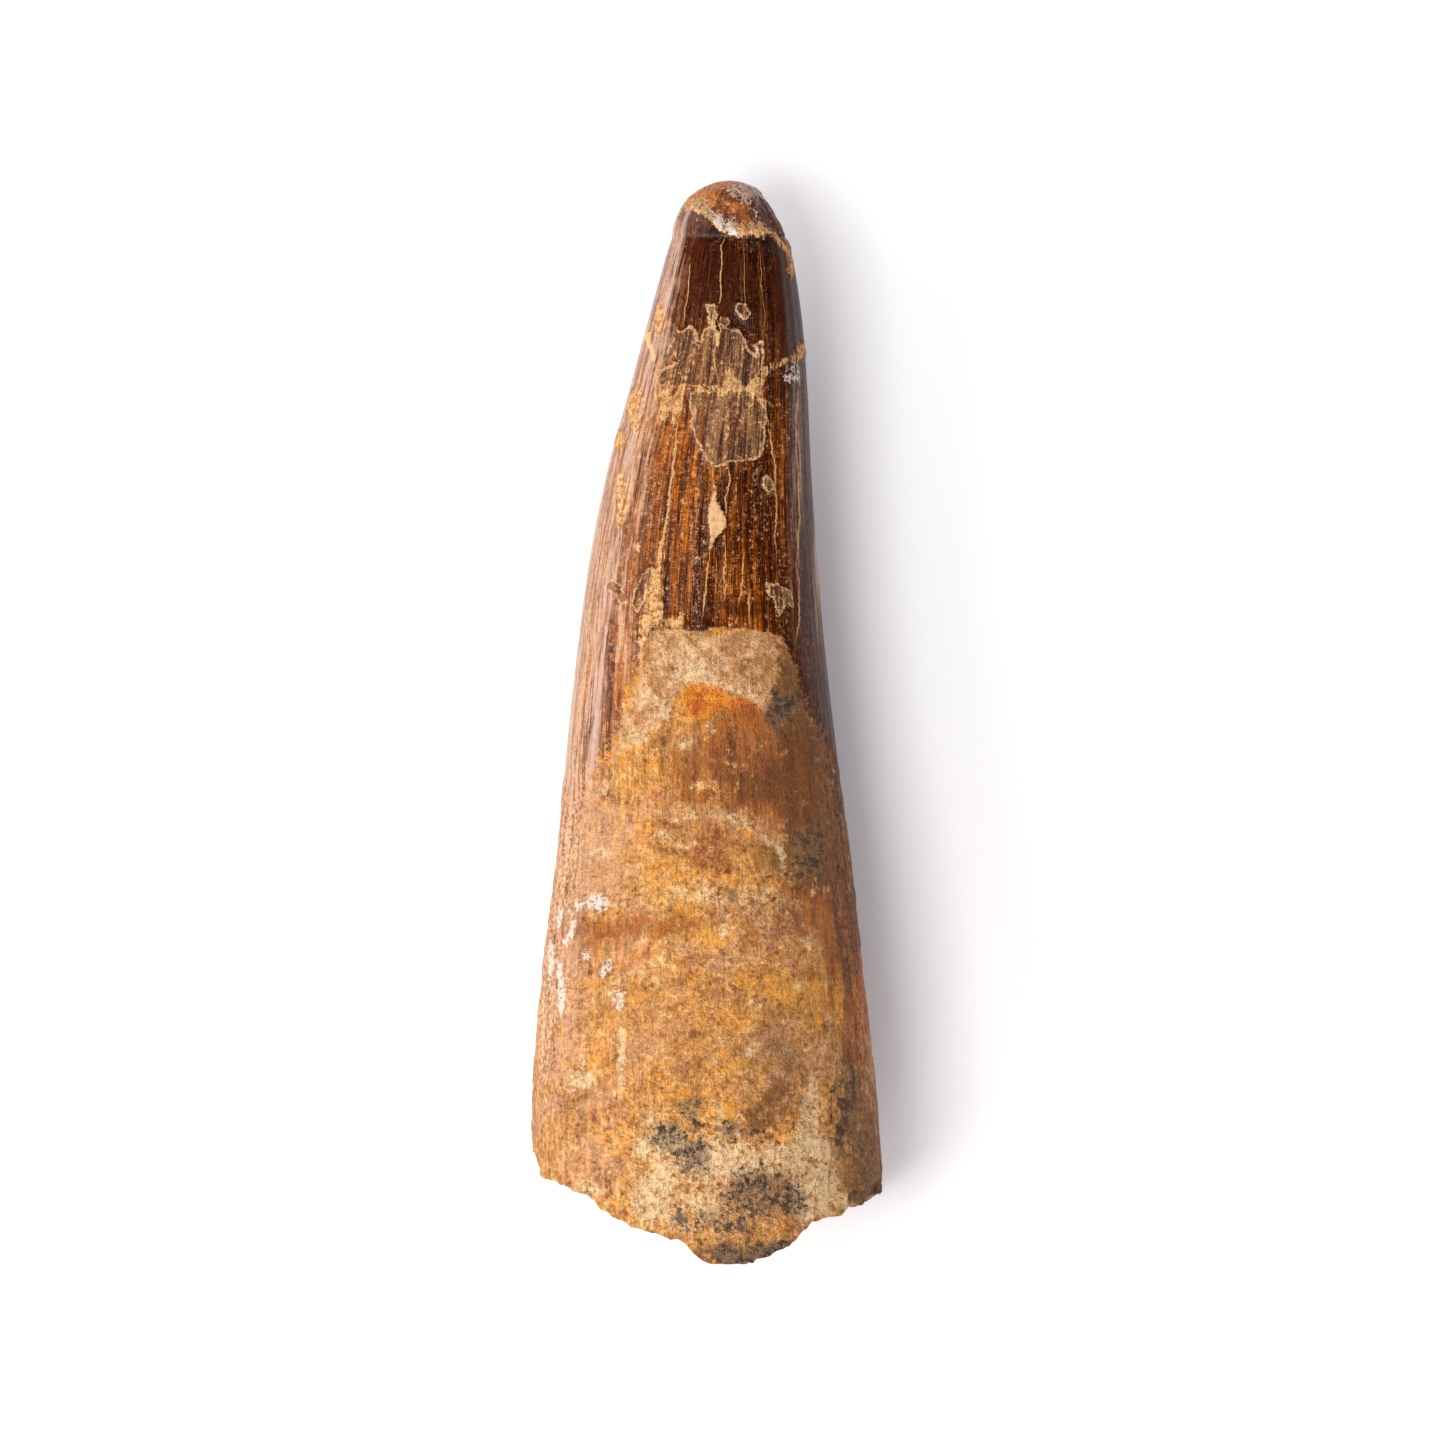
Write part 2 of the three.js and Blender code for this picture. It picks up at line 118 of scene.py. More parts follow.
# Areas with a clear outline, by kind.
AREAS = {
    "film": [
        [660, 386, 660, 377, 662, 370, 672, 367, 679, 360, 675, 352, 672, 345, 675, 337, 676, 332,
         684, 332, 685, 328, 691, 327, 696, 330, 697, 336, 698, 345, 701, 346, 703, 340, 704, 332,
         709, 327, 714, 327, 717, 332, 726, 332, 727, 329, 734, 330, 742, 335, 746, 342, 749, 350,
         755, 357, 759, 351, 755, 346, 757, 344, 764, 342, 764, 357, 762, 367, 757, 375, 748, 388],
        [690, 392, 692, 410, 692, 425, 696, 437, 701, 447, 707, 459, 715, 467, 722, 466, 730, 462,
         738, 461, 750, 460, 761, 455, 765, 442, 765, 430, 767, 417, 764, 408, 757, 400, 754, 390],
        [707, 306, 715, 305, 716, 322, 709, 323],
        [721, 316, 727, 317, 728, 322, 725, 326, 721, 325],
        [736, 304, 743, 304, 747, 309, 750, 308, 750, 314, 744, 319, 737, 314],
        [763, 478, 768, 476, 773, 482, 773, 490, 769, 494, 764, 487],
        [767, 583, 779, 585, 790, 592, 792, 606, 785, 604, 779, 616, 775, 600, 769, 594],
        [605, 588, 612, 581, 620, 584, 626, 594, 625, 604, 620, 606, 618, 594, 611, 590],
        [632, 606, 636, 590, 643, 576, 651, 568, 657, 571, 649, 584, 645, 600, 638, 610],
    ],
    "sand": [
        [657, 370, 663, 382, 675, 388, 690, 387, 708, 388, 723, 387, 728, 378, 729, 364, 732, 364,
         734, 378, 742, 386, 752, 382, 759, 374, 770, 366, 787, 358, 803, 347, 804, 351, 788, 362,
         772, 370, 764, 380, 759, 390, 766, 404, 762, 405, 753, 394, 738, 393, 725, 393, 708, 394,
         690, 393, 672, 393, 660, 388],
        [658, 386, 670, 391, 688, 391, 684, 402, 687, 410, 680, 414, 676, 422, 670, 414, 664, 424,
         659, 416, 660, 404, 656, 396],
        [647, 604, 645, 590, 651, 576, 657, 568, 664, 571, 664, 588, 663, 600, 666, 615, 684, 617,
         687, 627, 678, 633, 662, 627, 655, 625, 650, 632, 646, 642, 642, 630, 640, 620, 645, 612],
        [660, 542, 665, 545, 665, 570, 658, 572, 658, 556],
        [787, 263, 791, 260, 794, 268, 793, 278, 790, 277, 788, 270],
        [796, 347, 804, 338, 806, 354, 799, 360, 790, 362],
        [682, 209, 685, 203, 697, 200, 704, 207, 712, 214, 706, 215, 697, 206, 687, 207],
        [734, 228, 745, 224, 760, 226, 772, 227, 780, 234, 788, 244, 792, 254, 790, 259, 784, 250,
         776, 240, 767, 235, 750, 236, 737, 237],
        [632, 388, 640, 386, 646, 398, 641, 412, 646, 424, 638, 432, 630, 424, 626, 408],
        [619, 428, 627, 430, 625, 446, 618, 452, 615, 440],
        [619, 470, 627, 472, 627, 500, 624, 530, 618, 532, 617, 500],
        [656, 302, 664, 305, 666, 322, 662, 336, 656, 330],
    ],
    "putty": [
        [714, 482, 717, 490, 716, 500, 721, 510, 726, 517, 727, 527, 721, 535, 715, 539, 712, 550,
         709, 550, 711, 535, 709, 520, 709, 510, 712, 497],
        [646, 327, 650, 332, 655, 350, 657, 367, 651, 350, 645, 337],
        [716, 333, 720, 333, 721, 340, 718, 347, 716, 343],
        [639, 542, 642, 546, 639, 551, 636, 547],
        [697, 555, 700, 558, 697, 561, 694, 558],
    ],
    "chalk": [
        [703, 206, 712, 209, 722, 215, 731, 221, 739, 229, 736, 236, 727, 234, 720, 226, 712, 218,
         706, 213],
        [757, 344, 763, 342, 763, 352, 761, 362, 757, 356],
        [783, 366, 795, 362, 802, 370, 800, 384, 790, 388, 782, 380],
        [574, 900, 584, 902, 595, 892, 607, 894, 611, 902, 600, 911, 586, 907, 577, 910],
        [556, 916, 560, 908, 568, 905, 573, 910, 566, 912, 561, 919, 559, 930, 556, 928],
        [572, 914, 577, 922, 575, 936, 568, 946, 562, 944, 568, 934, 571, 924],
        [550, 936, 554, 946, 556, 962, 551, 988, 549, 985, 549, 955],
        [557, 962, 562, 962, 568, 990, 565, 1012, 560, 1018, 558, 990],
        [584, 951, 591, 950, 592, 959, 586, 961],
        [603, 962, 612, 956, 614, 966, 606, 978, 601, 974],
        [611, 986, 625, 990, 627, 1004, 619, 1010, 613, 1000],
    ],
    "crust": [
        [640, 640, 662, 632, 700, 636, 770, 636, 779, 650, 775, 684, 764, 699, 742, 690, 712, 683,
         686, 682, 672, 700, 660, 722, 640, 735, 622, 750, 612, 760, 618, 735, 630, 705, 640, 680],
    ],
    "amber": [
        [682, 692, 690, 684, 704, 682, 718, 686, 729, 691, 727, 704, 721, 712, 712, 715, 704, 721,
         692, 717, 685, 707],
        [729, 695, 741, 697, 756, 701, 769, 709, 770, 728, 762, 735, 745, 732, 736, 724, 729, 712],
    ],
    "bright": [
        [683, 640, 693, 648, 700, 659, 712, 670, 718, 680, 708, 682, 694, 676, 682, 680, 668, 678,
         672, 668, 682, 664, 690, 658],
        [640, 684, 650, 688, 660, 696, 668, 706, 672, 718, 664, 720, 656, 708, 646, 700, 639, 694],
        [668, 822, 686, 816, 700, 814, 705, 808, 716, 812, 732, 814, 745, 817, 751, 830, 748, 830,
         741, 821, 728, 818, 704, 813, 688, 819],
        [676, 836, 684, 846, 694, 842, 702, 830, 697, 843, 686, 850, 676, 843],
        [758, 835, 772, 839, 783, 849, 786, 862, 782, 872, 780, 860, 772, 845, 760, 840],
        [704, 722, 716, 729, 716, 735, 706, 731],
        [682, 681, 704, 678, 722, 683, 740, 689, 758, 695, 773, 704, 770, 710, 756, 702, 740, 696,
         722, 690, 704, 684, 686, 688],
    ],
    "soot": [
        [769, 702, 776, 692, 796, 694, 801, 706, 791, 720, 778, 733, 770, 726, 767, 713],
        [684, 1102, 697, 1098, 702, 1112, 695, 1126, 685, 1118],
        [658, 1118, 680, 1122, 684, 1142, 668, 1150, 657, 1138],
        [686, 1140, 706, 1136, 712, 1156, 704, 1172, 688, 1160],
        [721, 1118, 738, 1117, 744, 1130, 728, 1135, 720, 1128],
        [732, 1168, 760, 1164, 790, 1172, 806, 1188, 812, 1206, 796, 1214, 768, 1208, 742, 1212,
         726, 1196],
        [716, 1246, 745, 1250, 770, 1244, 790, 1236, 790, 1250, 768, 1262, 740, 1268, 718, 1266],
        [886, 1060, 893, 1060, 893, 1200, 880, 1196, 879, 1130],
    ],
}

# Fine lines that run along the tooth: the points of each, and its half width in millimetres.
CREAM_LINES = [
    ([726, 235, 722, 246, 723, 260, 721, 277, 721, 295, 718, 307, 717, 318, 720, 330, 719, 340,
      715, 350, 714, 360, 718, 374, 719, 388], 0.065),
    ([691, 258, 689, 277, 688, 295, 686, 307, 684, 320, 683, 328], 0.06),
    ([678, 423, 676, 447, 673, 470, 670, 492, 669, 510, 665, 530, 661, 550, 660, 568], 0.12),
    ([768, 420, 771, 442, 775, 467, 776, 492, 777, 515, 775, 535, 777, 560], 0.09),
    ([796, 405, 796, 447, 798, 472, 799, 497, 800, 515, 798, 540, 796, 565], 0.13),
    ([729, 467, 730, 482, 726, 500, 727, 516], 0.08),
    ([713, 466, 713, 484], 0.08),
    ([726, 543, 726, 560, 724, 572, 726, 582, 725, 599], 0.11),
    ([710, 550, 707, 577, 706, 597, 704, 614], 0.09),
    ([744, 550, 742, 570, 741, 590, 739, 604], 0.09),
    ([750, 592, 750, 628], 0.09),
    ([795, 565, 799, 582, 798, 622, 795, 642], 0.1),
    ([610, 545, 608, 560, 606, 576], 0.1),
    ([591, 595, 589, 615, 592, 640, 587, 660, 585, 680, 582, 704], 0.09),
    ([744, 236, 745, 260, 744, 280, 746, 300, 745, 322], 0.02),
    ([759, 245, 761, 265, 762, 285, 765, 310, 765, 338], 0.02),
    ([832, 1028, 834, 1056, 833, 1080], 0.1),
    ([762, 905, 775, 930, 786, 950], 0.09),
]
DARK_LINES = [
    ([632, 1050, 635, 1092, 636, 1130, 638, 1167, 639, 1200, 641, 1240], 0.05),
    ([831, 1082, 831, 1105, 830, 1130, 831, 1155, 829, 1182], 0.08),
    ([585, 1052, 586, 1092], 0.05),
    ([632, 812, 637, 820], 0.06),
    ([604, 816, 609, 822], 0.06),
    ([573, 806, 576, 818], 0.06),
]

# Soft changes of tone: column and row of the centre, half width, half height and strength.
TONES = {
    "dark": [
        (724, 285, 30, 40, 0.9), (792, 300, 22, 60, 1.0), (745, 440, 40, 50, 0.2),
        (705, 262, 14, 30, 0.5), (803, 520, 12, 150, 0.8), (812, 700, 22, 70, 0.9),
        (808, 820, 18, 30, 1.2), (818, 780, 22, 60, 0.8), (810, 858, 26, 28, 1.0),
        (848, 910, 16, 100, 0.7), (858, 1120, 30, 58, 0.85), (870, 1180, 14, 30, 0.8),
        (800, 740, 18, 30, 0.7), (784, 712, 12, 18, 0.9), (735, 765, 50, 30, 0.4),
        (828, 820, 12, 60, 0.7), (775, 1008, 22, 20, 0.4), (786, 1078, 20, 22, 0.6),
        (755, 1115, 12, 14, 0.8), (780, 1104, 18, 14, 0.6), (735, 606, 44, 16, 0.6),
        (784, 684, 9, 26, 0.8), (782, 862, 10, 14, 0.6), (758, 790, 26, 22, 0.5),
        (734, 895, 8, 10, 0.6), (731, 745, 4, 30, 0.6), (655, 748, 8, 10, 0.5),
        (760, 1246, 50, 9, 1.0), (880, 1190, 8, 14, 1.0), (745, 1252, 44, 7, 1.3),
        (828, 745, 4, 6, 1.6), (834, 760, 4, 5, 1.6), (847, 876, 5, 8, 1.6),
        (772, 208, 12, 18, 1.0), (607, 935, 14, 8, 0.5), (690, 928, 18, 8, 0.4),
        (745, 1070, 18, 24, 0.4),
    ],
    "red": [
        (735, 768, 64, 44, 1.0), (745, 728, 26, 18, 0.9), (792, 775, 28, 56, 0.9),
        (805, 905, 26, 34, 0.6), (840, 930, 16, 70, 1.0), (856, 1000, 18, 90, 0.9),
        (590, 935, 40, 26, 0.5), (660, 925, 50, 16, 0.5), (775, 1186, 7, 5, 1.0),
        (691, 1117, 4, 4, 1.0), (840, 770, 8, 80, 0.6), (757, 932, 40, 20, 0.3),
    ],
    "rust": [
        (708, 852, 22, 14, 1.0), (712, 832, 12, 10, 0.8), (676, 852, 9, 5, 1.0),
        (722, 868, 12, 6, 0.9), (690, 708, 8, 12, 0.5), (735, 720, 8, 26, 0.6),
        (655, 742, 7, 8, 0.6), (700, 738, 16, 8, 0.2), (735, 640, 6, 22, 0.5),
        (770, 668, 12, 18, 0.5),
    ],
    "yellow": [
        (716, 936, 17, 11, 1.1), (700, 980, 40, 30, 0.3), (782, 990, 22, 20, 0.8),
        (838, 1000, 6, 34, 0.8), (628, 690, 6, 24, 1.0), (618, 650, 8, 40, 1.1),
        (622, 490, 6, 50, 0.7), (790, 268, 6, 9, 0.6), (729, 1110, 10, 22, 1.0),
        (640, 1000, 30, 36, 0.3), (600, 1045, 30, 40, 0.4), (790, 1134, 16, 24, 0.5),
        (620, 1135, 30, 14, 0.5), (747, 832, 8, 8, 0.9), (752, 860, 10, 10, 0.5),
        (706, 1240, 20, 10, 0.9), (742, 1062, 20, 14, 0.5), (640, 390, 5, 30, 0.9),
        (600, 800, 20, 10, 0.4), (668, 1060, 26, 20, 0.3),
    ],
    "pale": [
        (757, 191, 15, 10, 1.5), (735, 190, 10, 6, 0.8), (622, 1055, 4, 34, 1.1),
        (582, 1080, 14, 11, 1.0), (583, 1045, 3, 20, 0.7), (812, 1120, 14, 50, 0.9),
        (765, 1158, 58, 12, 1.4), (810, 1174, 17, 30, 1.7), (656, 1150, 20, 50, 0.7),
        (700, 1150, 60, 24, 0.6), (590, 1186, 30, 8, 0.7), (645, 1205, 10, 20, 0.6),
        (720, 1120, 5, 26, 0.6), (738, 1120, 3, 20, 0.6), (846, 1205, 28, 9, 1.4),
        (612, 708, 12, 26, 0.9), (662, 838, 12, 10, 0.6), (688, 744, 16, 10, 0.6),
        (680, 890, 60, 16, 0.5), (760, 900, 34, 14, 0.5), (600, 850, 16, 10, 0.5),
        (605, 790, 6, 14, 0.7), (640, 735, 10, 12, 0.8), (722, 930, 8, 8, 0.8),
        (757, 1000, 14, 8, 0.6), (748, 1051, 8, 5, 0.9), (786, 1048, 8, 9, 0.7),
        (800, 985, 8, 6, 0.7), (615, 905, 12, 6, 0.6), (696, 1205, 44, 26, 0.7),
        (830, 1185, 16, 20, 0.5), (618, 985, 10, 22, 0.6),
    ],
    "olive": [
        (766, 858, 13, 12, 0.9), (805, 850, 26, 34, 0.5), (800, 720, 16, 40, 0.3),
        (850, 1100, 18, 44, 0.5), (850, 1160, 18, 40, 0.5), (770, 1030, 30, 30, 0.35),
        (790, 1065, 26, 24, 0.5), (745, 905, 20, 10, 0.3), (672, 655, 14, 8, 0.5),
        (625, 712, 8, 8, 0.4), (655, 715, 10, 8, 0.5), (765, 1175, 40, 24, 0.4),
    ],
    "grey": [
        (692, 1108, 8, 14, 1.4), (664, 1134, 12, 10, 1.1), (690, 1150, 14, 18, 1.4),
        (676, 1140, 30, 26, 0.7), (728, 1127, 10, 7, 1.3), (757, 1131, 16, 5, 1.0),
        (758, 1190, 38, 20, 1.15), (750, 1222, 36, 16, 0.9), (700, 1222, 16, 16, 0.8),
        (735, 1232, 30, 12, 0.5), (760, 1250, 46, 8, 1.5), (844, 1094, 14, 20, 1.35),
        (838, 1135, 9, 20, 1.2), (740, 1045, 20, 10, 0.5), (787, 1052, 10, 8, 0.6),
        (645, 1113, 4, 8, 1.0), (680, 1218, 12, 12, 0.6), (780, 735, 10, 10, 0.8),
        (800, 836, 12, 6, 0.8), (822, 860, 7, 16, 0.9), (798, 872, 18, 10, 0.9),
        (806, 852, 24, 24, 0.5), (808, 826, 16, 26, 0.5), (850, 1075, 9, 12, 1.0),
        (856, 1152, 10, 24, 1.1), (592, 727, 6, 9, 0.6), (563, 1000, 5, 14, 0.8),
        (620, 996, 5, 8, 0.8), (560, 925, 5, 10, 0.6), (674, 655, 8, 6, 0.5), (656, 713, 6, 5, 0.7),
        (700, 1240, 12, 8, 0.9), (884, 1196, 5, 6, 1.2), (770, 1112, 8, 8, 0.5),
        (635, 1095, 10, 6, 0.4), (612, 1150, 10, 6, 0.4), (680, 1205, 8, 8, 0.6),
    ],
    # Pink-tan dust, partly a painted sheen on the crown's left facet and a painted reflection along
    # the right edge.
    "pink_dust_and_sheen": [
        (545, 1020, 12, 80, 0.6), (560, 940, 16, 60, 0.6), (858, 830, 5, 90, 0.9),
        (575, 830, 16, 60, 0.5), (874, 1010, 6, 110, 0.8), (578, 640, 22, 90, 0.9),
        (556, 860, 14, 50, 0.5), (700, 800, 30, 16, 0.2), (606, 830, 40, 40, 0.7),
        (575, 990, 34, 120, 0.5), (590, 1150, 40, 50, 0.25), (676, 250, 7, 40, 0.7),
        (664, 310, 8, 40, 0.8), (648, 360, 12, 50, 0.8), (636, 400, 16, 60, 0.9),
        (618, 480, 20, 60, 0.9), (602, 560, 20, 60, 0.9), (575, 740, 16, 50, 0.5),
        (620, 640, 14, 50, 0.4), (797, 470, 7, 120, 0.42), (818, 560, 3, 60, 0.8),
        (800, 970, 22, 30, 0.3), (620, 880, 30, 14, 0.4),
    ],
    "amber": [
        (700, 194, 14, 12, 1.5), (733, 208, 12, 8, 0.6), (726, 183, 18, 4, 1.1),
    ],
    "fibre": [
        (735, 775, 80, 46, 1.2), (580, 1000, 40, 170, 0.8), (850, 960, 26, 200, 1.0),
        (600, 800, 50, 60, 0.8), (640, 930, 60, 40, 0.5), (820, 760, 26, 100, 0.7),
        (640, 1120, 40, 60, 0.5),
    ],
    "grain": [
        (730, 1200, 110, 60, 1.3), (720, 1120, 90, 40, 0.8), (720, 895, 90, 30, 0.9),
        (810, 1130, 20, 60, 1.0), (760, 1020, 70, 60, 0.5), (805, 860, 30, 34, 0.9),
        (720, 660, 70, 40, 0.6), (590, 1195, 50, 16, 0.7), (720, 940, 60, 30, 0.5),
    ],
}


# ---------------------------------------------------------------- small maths
def smooth(value, low, high):
    share = np.clip((value - low) / (high - low), 0, 1)
    return share * share * (3 - 2 * share)


def falling(value, low, high):
    return 1 - smooth(value, low, high)


def lerp(a, b, share):
    return a + (b - a) * share


def bell(value, spread):
    return np.exp(-((value / spread) ** 2))


def curve_through(points):
    """A smooth curve through (x, y) points, as a function of x, level past the ends."""
    x, y = np.array(points, float).T
    order = np.arange(len(x))
    before, after = np.maximum(order - 1, 0), np.minimum(order + 1, len(x) - 1)
    slope = (y[after] - y[before]) / (x[after] - x[before])

    def at(value):
        value = np.clip(value, x[0], x[-1])
        i = np.clip(np.searchsorted(x, value, side="right") - 1, 0, len(x) - 2)
        step = x[i + 1] - x[i]
        t = (value - x[i]) / step
        ends = y[i] * (1 + 2 * t) * (1 - t) ** 2 + y[i + 1] * t * t * (3 - 2 * t)
        return ends + step * (slope[i] * t * (1 - t) ** 2 + slope[i + 1] * t * t * (t - 1))

    return at


# Large odd numbers that scatter the cells of the noise.
CELL_HASH = np.array([374761393, 668265263, 1442695041])
SEED_HASH = 1274126177
MIX_HASH = 1103515245
LOW_32_BITS = 0xFFFFFFFF


def lattice(cell, seed):
    """A fixed value between -1 and 1 for every whole-numbered cell."""
    mixed = (cell @ CELL_HASH + seed * SEED_HASH) & LOW_32_BITS
    mixed = ((mixed ^ (mixed >> 13)) * MIX_HASH) & LOW_32_BITS
    mixed = (mixed ^ (mixed >> 16)) & LOW_32_BITS
    return 2 * mixed / LOW_32_BITS - 1


def noise(point, seed=0):
    """Smooth noise between -1 and 1 with lumps about one unit across."""
    cell = np.floor(point).astype(np.int64)
    t = point - cell
    t = t * t * (3 - 2 * t)
    total = np.zeros(point.shape[:-1])
    for corner in np.ndindex(2, 2, 2):
        share = np.prod(np.where(corner, t, 1 - t), axis=-1)
        total += share * lattice(cell + np.array(corner), seed)
    return total


FINER = 2.1  # how much smaller the lumps of each further layer of noise are
FAINTER = 0.5


def layered(point, layers, seed=0):
    """Noise with finer and fainter layers added."""
    total = sum(noise(point * FINER**i, seed + i) * FAINTER**i for i in range(layers))
    return total / sum(FAINTER**i for i in range(layers))


def rounded(value):
    """A sine or cosine, bent so that the section is a rounded oblong."""
    return np.sign(value) * np.abs(value) ** (2 / SQUARENESS)


# ---------------------------------------------------------------- the smooth form
left_side = curve_through([(along, left) for along, left, _ in OUTLINE])
right_side = curve_through([(along, right) for along, _, right in OUTLINE])

# The crown's upper side is a facet: how flat it is, by place along, and where its shoulders are.
FACET_SHARE = curve_through(
    [(-30, 0.1), (-8, 0.15), (6, 0.3), (16, 0.55), (26, 0.9), (38, 1.0), (45, 0.4)]
)
FACET_HEIGHT = 0.8
FACET_START = 0.1
FACET_SOFTNESS = 0.13


def section_at(along):
    """A section's middle, half width, half depth and the height of its middle."""
    left = left_side(np.minimum(along, DOME_START))
    right = right_side(np.minimum(along, DOME_START))
    into_dome = np.clip((along - DOME_START) / (TIP_END - DOME_START), 0, 1)
    round_off = np.sqrt(1 - into_dome**2)
    blunt = (1 - into_dome**TIP_BLUNTNESS) ** (1 / TIP_BLUNTNESS)
    share = lerp(DEPTH_AT_BREAK, DEPTH_AT_TIP, (along - BREAK_END) / LENGTH)
    full = (right - left) / 2
    lift = TIP_LIFT * (np.maximum(0, along - CURVE_START) / (TIP_END - CURVE_START)) ** 2
    middle = (left + right) / 2 + TIP_LEAN * into_dome
    return middle, full * round_off, full * share * blunt, lift + full * share - REST_WEAR


def section_height(angle, along):
    """How high a section's skin is over its middle, for a half depth of 1."""
    plain = rounded(np.sin(np.radians(angle)))
    raised = plain / FACET_HEIGHT
    capped = -FACET_SOFTNESS * np.logaddexp(-raised / FACET_SOFTNESS, -1 / FACET_SOFTNESS)
    share = FACET_SHARE(along) * (angle < 180)
    return lerp(plain, capped, share * smooth(plain, 0, FACET_START))


# The skin unrolled: arc length from the top line, for a half width of 1, by degrees from the top.
TURNS = np.linspace(0, 180, 1801)
MEAN_DEPTH = 0.83
half_section = np.array([np.sin(np.radians(TURNS)), np.cos(np.radians(TURNS))])
ARC = np.append(0, np.cumsum(np.hypot(*np.diff(rounded(half_section) * [[1], [MEAN_DEPTH]]))))
OUTERMOST = 0.9995  # the largest share of the half width at which a mark can lie
UNDERSIDE = (188, 352)  # the angles that are not seen from above


def from_top(angle):
    """Degrees from the top line, from -180 at the left to 180 at the right."""
    return 180 - (angle + 90) % 360


def arc_at(turn, half_width):
    return np.sign(turn) * half_width * np.interp(np.abs(turn), TURNS, ARC)


def pixels_to_mm(points):
    """The x and y of points that are given as columns and rows in turn."""
    points = np.reshape(points, (-1, 2))
    return (points - ORIGIN_PIXEL) / (PIXELS_PER_MM, -PIXELS_PER_MM)


def turn_at(x, along):
    """Degrees from the top line of a point seen from above."""
    middle, half_width, _, _ = section_at(along)
    share = np.clip((x - middle) / half_width, -OUTERMOST, OUTERMOST)
    return np.degrees(np.arcsin(np.sign(share) * np.abs(share) ** (SQUARENESS / 2)))


def on_skin(points):
    """Pixels laid on the unrolled skin."""
    x, along = pixels_to_mm(points).T
    return np.stack([arc_at(turn_at(x, along), section_at(along)[1]), along], axis=1)


def by_angle(points, rest):
    """Pixels on the upper side and (angle, along) points underneath, as one curve round it all."""
    x, along = pixels_to_mm(points).T
    seen_from_above = list(zip(90 - turn_at(x, along), along))
    underneath = [pair for pair in rest if UNDERSIDE[0] < pair[0] < UNDERSIDE[1]]
    angles, values = np.array(sorted(seen_from_above + underneath)).T
    return lambda at: np.interp(at, angles, values, period=360)


# ---------------------------------------------------------------- the grid of the skin
UPPER_COLUMNS = 160
LOWER_COLUMNS = 96
SIDE_RINGS = 330
DOME_RINGS = 26
BREAK_RINGS = 28
COLUMNS = UPPER_COLUMNS + LOWER_COLUMNS
CHIPS = 0.28
SMALL_CHIPS = 0.14
RIM_DEPTH = 8.0
RIM_MARGIN = 0.035  # how far the rim keeps from the very end
GRAIN_RADIUS = 12.0

upper_angles = np.linspace(0, 180, UPPER_COLUMNS, endpoint=False)
lower_angles = np.linspace(180, 360, LOWER_COLUMNS, endpoint=False)
angle = np.append(upper_angles, lower_angles)[None, :]


def rim_at(angle):
    """How far along the tooth the broken end's rim lies, chipped a little."""
    middle, half_width, _, _ = section_at(np.array(BREAK_END))
    x = middle + half_width * rounded(np.cos(np.radians(angle)))
    upper = np.interp(x, *pixels_to_mm(BREAK_UPPER).T)
    lower = np.interp(x, *np.array(BREAK_LOWER).T)
    at = np.stack([x, RIM_DEPTH * np.sin(np.radians(angle)), 0 * angle], axis=-1)
    chips = CHIPS * layered(at * 0.9, 3, 40) + SMALL_CHIPS * layered(at * 3.1, 2, 45)
    return np.maximum(np.where(angle <= 180, upper, lower) + chips, BREAK_END + RIM_MARGIN)


broken_rim = rim_at(angle)
square = np.linspace(BREAK_END, DOME_START, SIDE_RINGS, endpoint=False)[:, None]
rim_share = np.clip(1 - (square - BREAK_END) / BREAK_REACH, 0, 1) ** 2
side_along = square + (broken_rim - BREAK_END) * rim_share
dome_share = np.linspace(0, 1, DOME_RINGS, endpoint=False)[:, None]
dome_along = lerp(DOME_START, TIP_END, np.sin(dome_share * np.pi / 2)) + 0 * angle
along = np.concatenate([side_along, dome_along])
angle = angle + 0 * along

middle, half_width, half_depth, mid_height = section_at(along)
cos, sin = np.cos(np.radians(angle)), np.sin(np.radians(angle))
x = middle + half_width * rounded(cos)
z = mid_height + half_depth * section_height(angle, along)
outward = np.stack([cos / half_width, sin / half_depth])
out_x, out_z = outward / np.hypot(*outward)
place = np.stack([x, along, z], axis=-1)
arc = arc_at(from_top(angle), half_width)
grain = np.stack([GRAIN_RADIUS * cos, along, GRAIN_RADIUS * sin], axis=-1)

# ---------------------------------------------------------------- marks on the skin
FAR = 3.0  # the largest distance that a field holds
LINE_FAR = 14.0  # the same for lines, in half widths
STRAY = 0.13  # how far marks stray from the shapes drawn
DRIFT = 5.5  # tones come again on the underside, this far further from the tip
FULL_DRIFT = 0.6
TONE_FALLOFF = 0.8
STRONGEST_TONE = 1.2
TINY = 1e-9

tone_along = along + DRIFT * smooth(-sin, 0, FULL_DRIFT)
stray_across, stray_along = (STRAY * layered(place * 2.0, 3, seed) for seed in (7, 17))
skin_at = np.stack([arc + stray_across, along + stray_along], axis=-1).reshape(-1, 2)


def outline_distance(points, at):
    """How far inside an outline each point lies, negative outside."""
    nearest = np.full(len(at), np.inf)
    inside = np.zeros(len(at), bool)
    for a, b in zip(points, np.roll(points, -1, axis=0)):
        edge = b - a
        share = np.clip((at - a) @ edge / max(edge @ edge, TINY), 0, 1)
        nearest = np.minimum(nearest, np.hypot(*(at - a - share[:, None] * edge).T))
        rise = edge[1] if abs(edge[1]) > TINY else TINY
        crosses = (a[1] > at[:, 1]) != (b[1] > at[:, 1])
        inside ^= crosses & (at[:, 0] < edge[0] * (at[:, 1] - a[1]) / rise + a[0])
    return np.where(inside, nearest, -nearest)


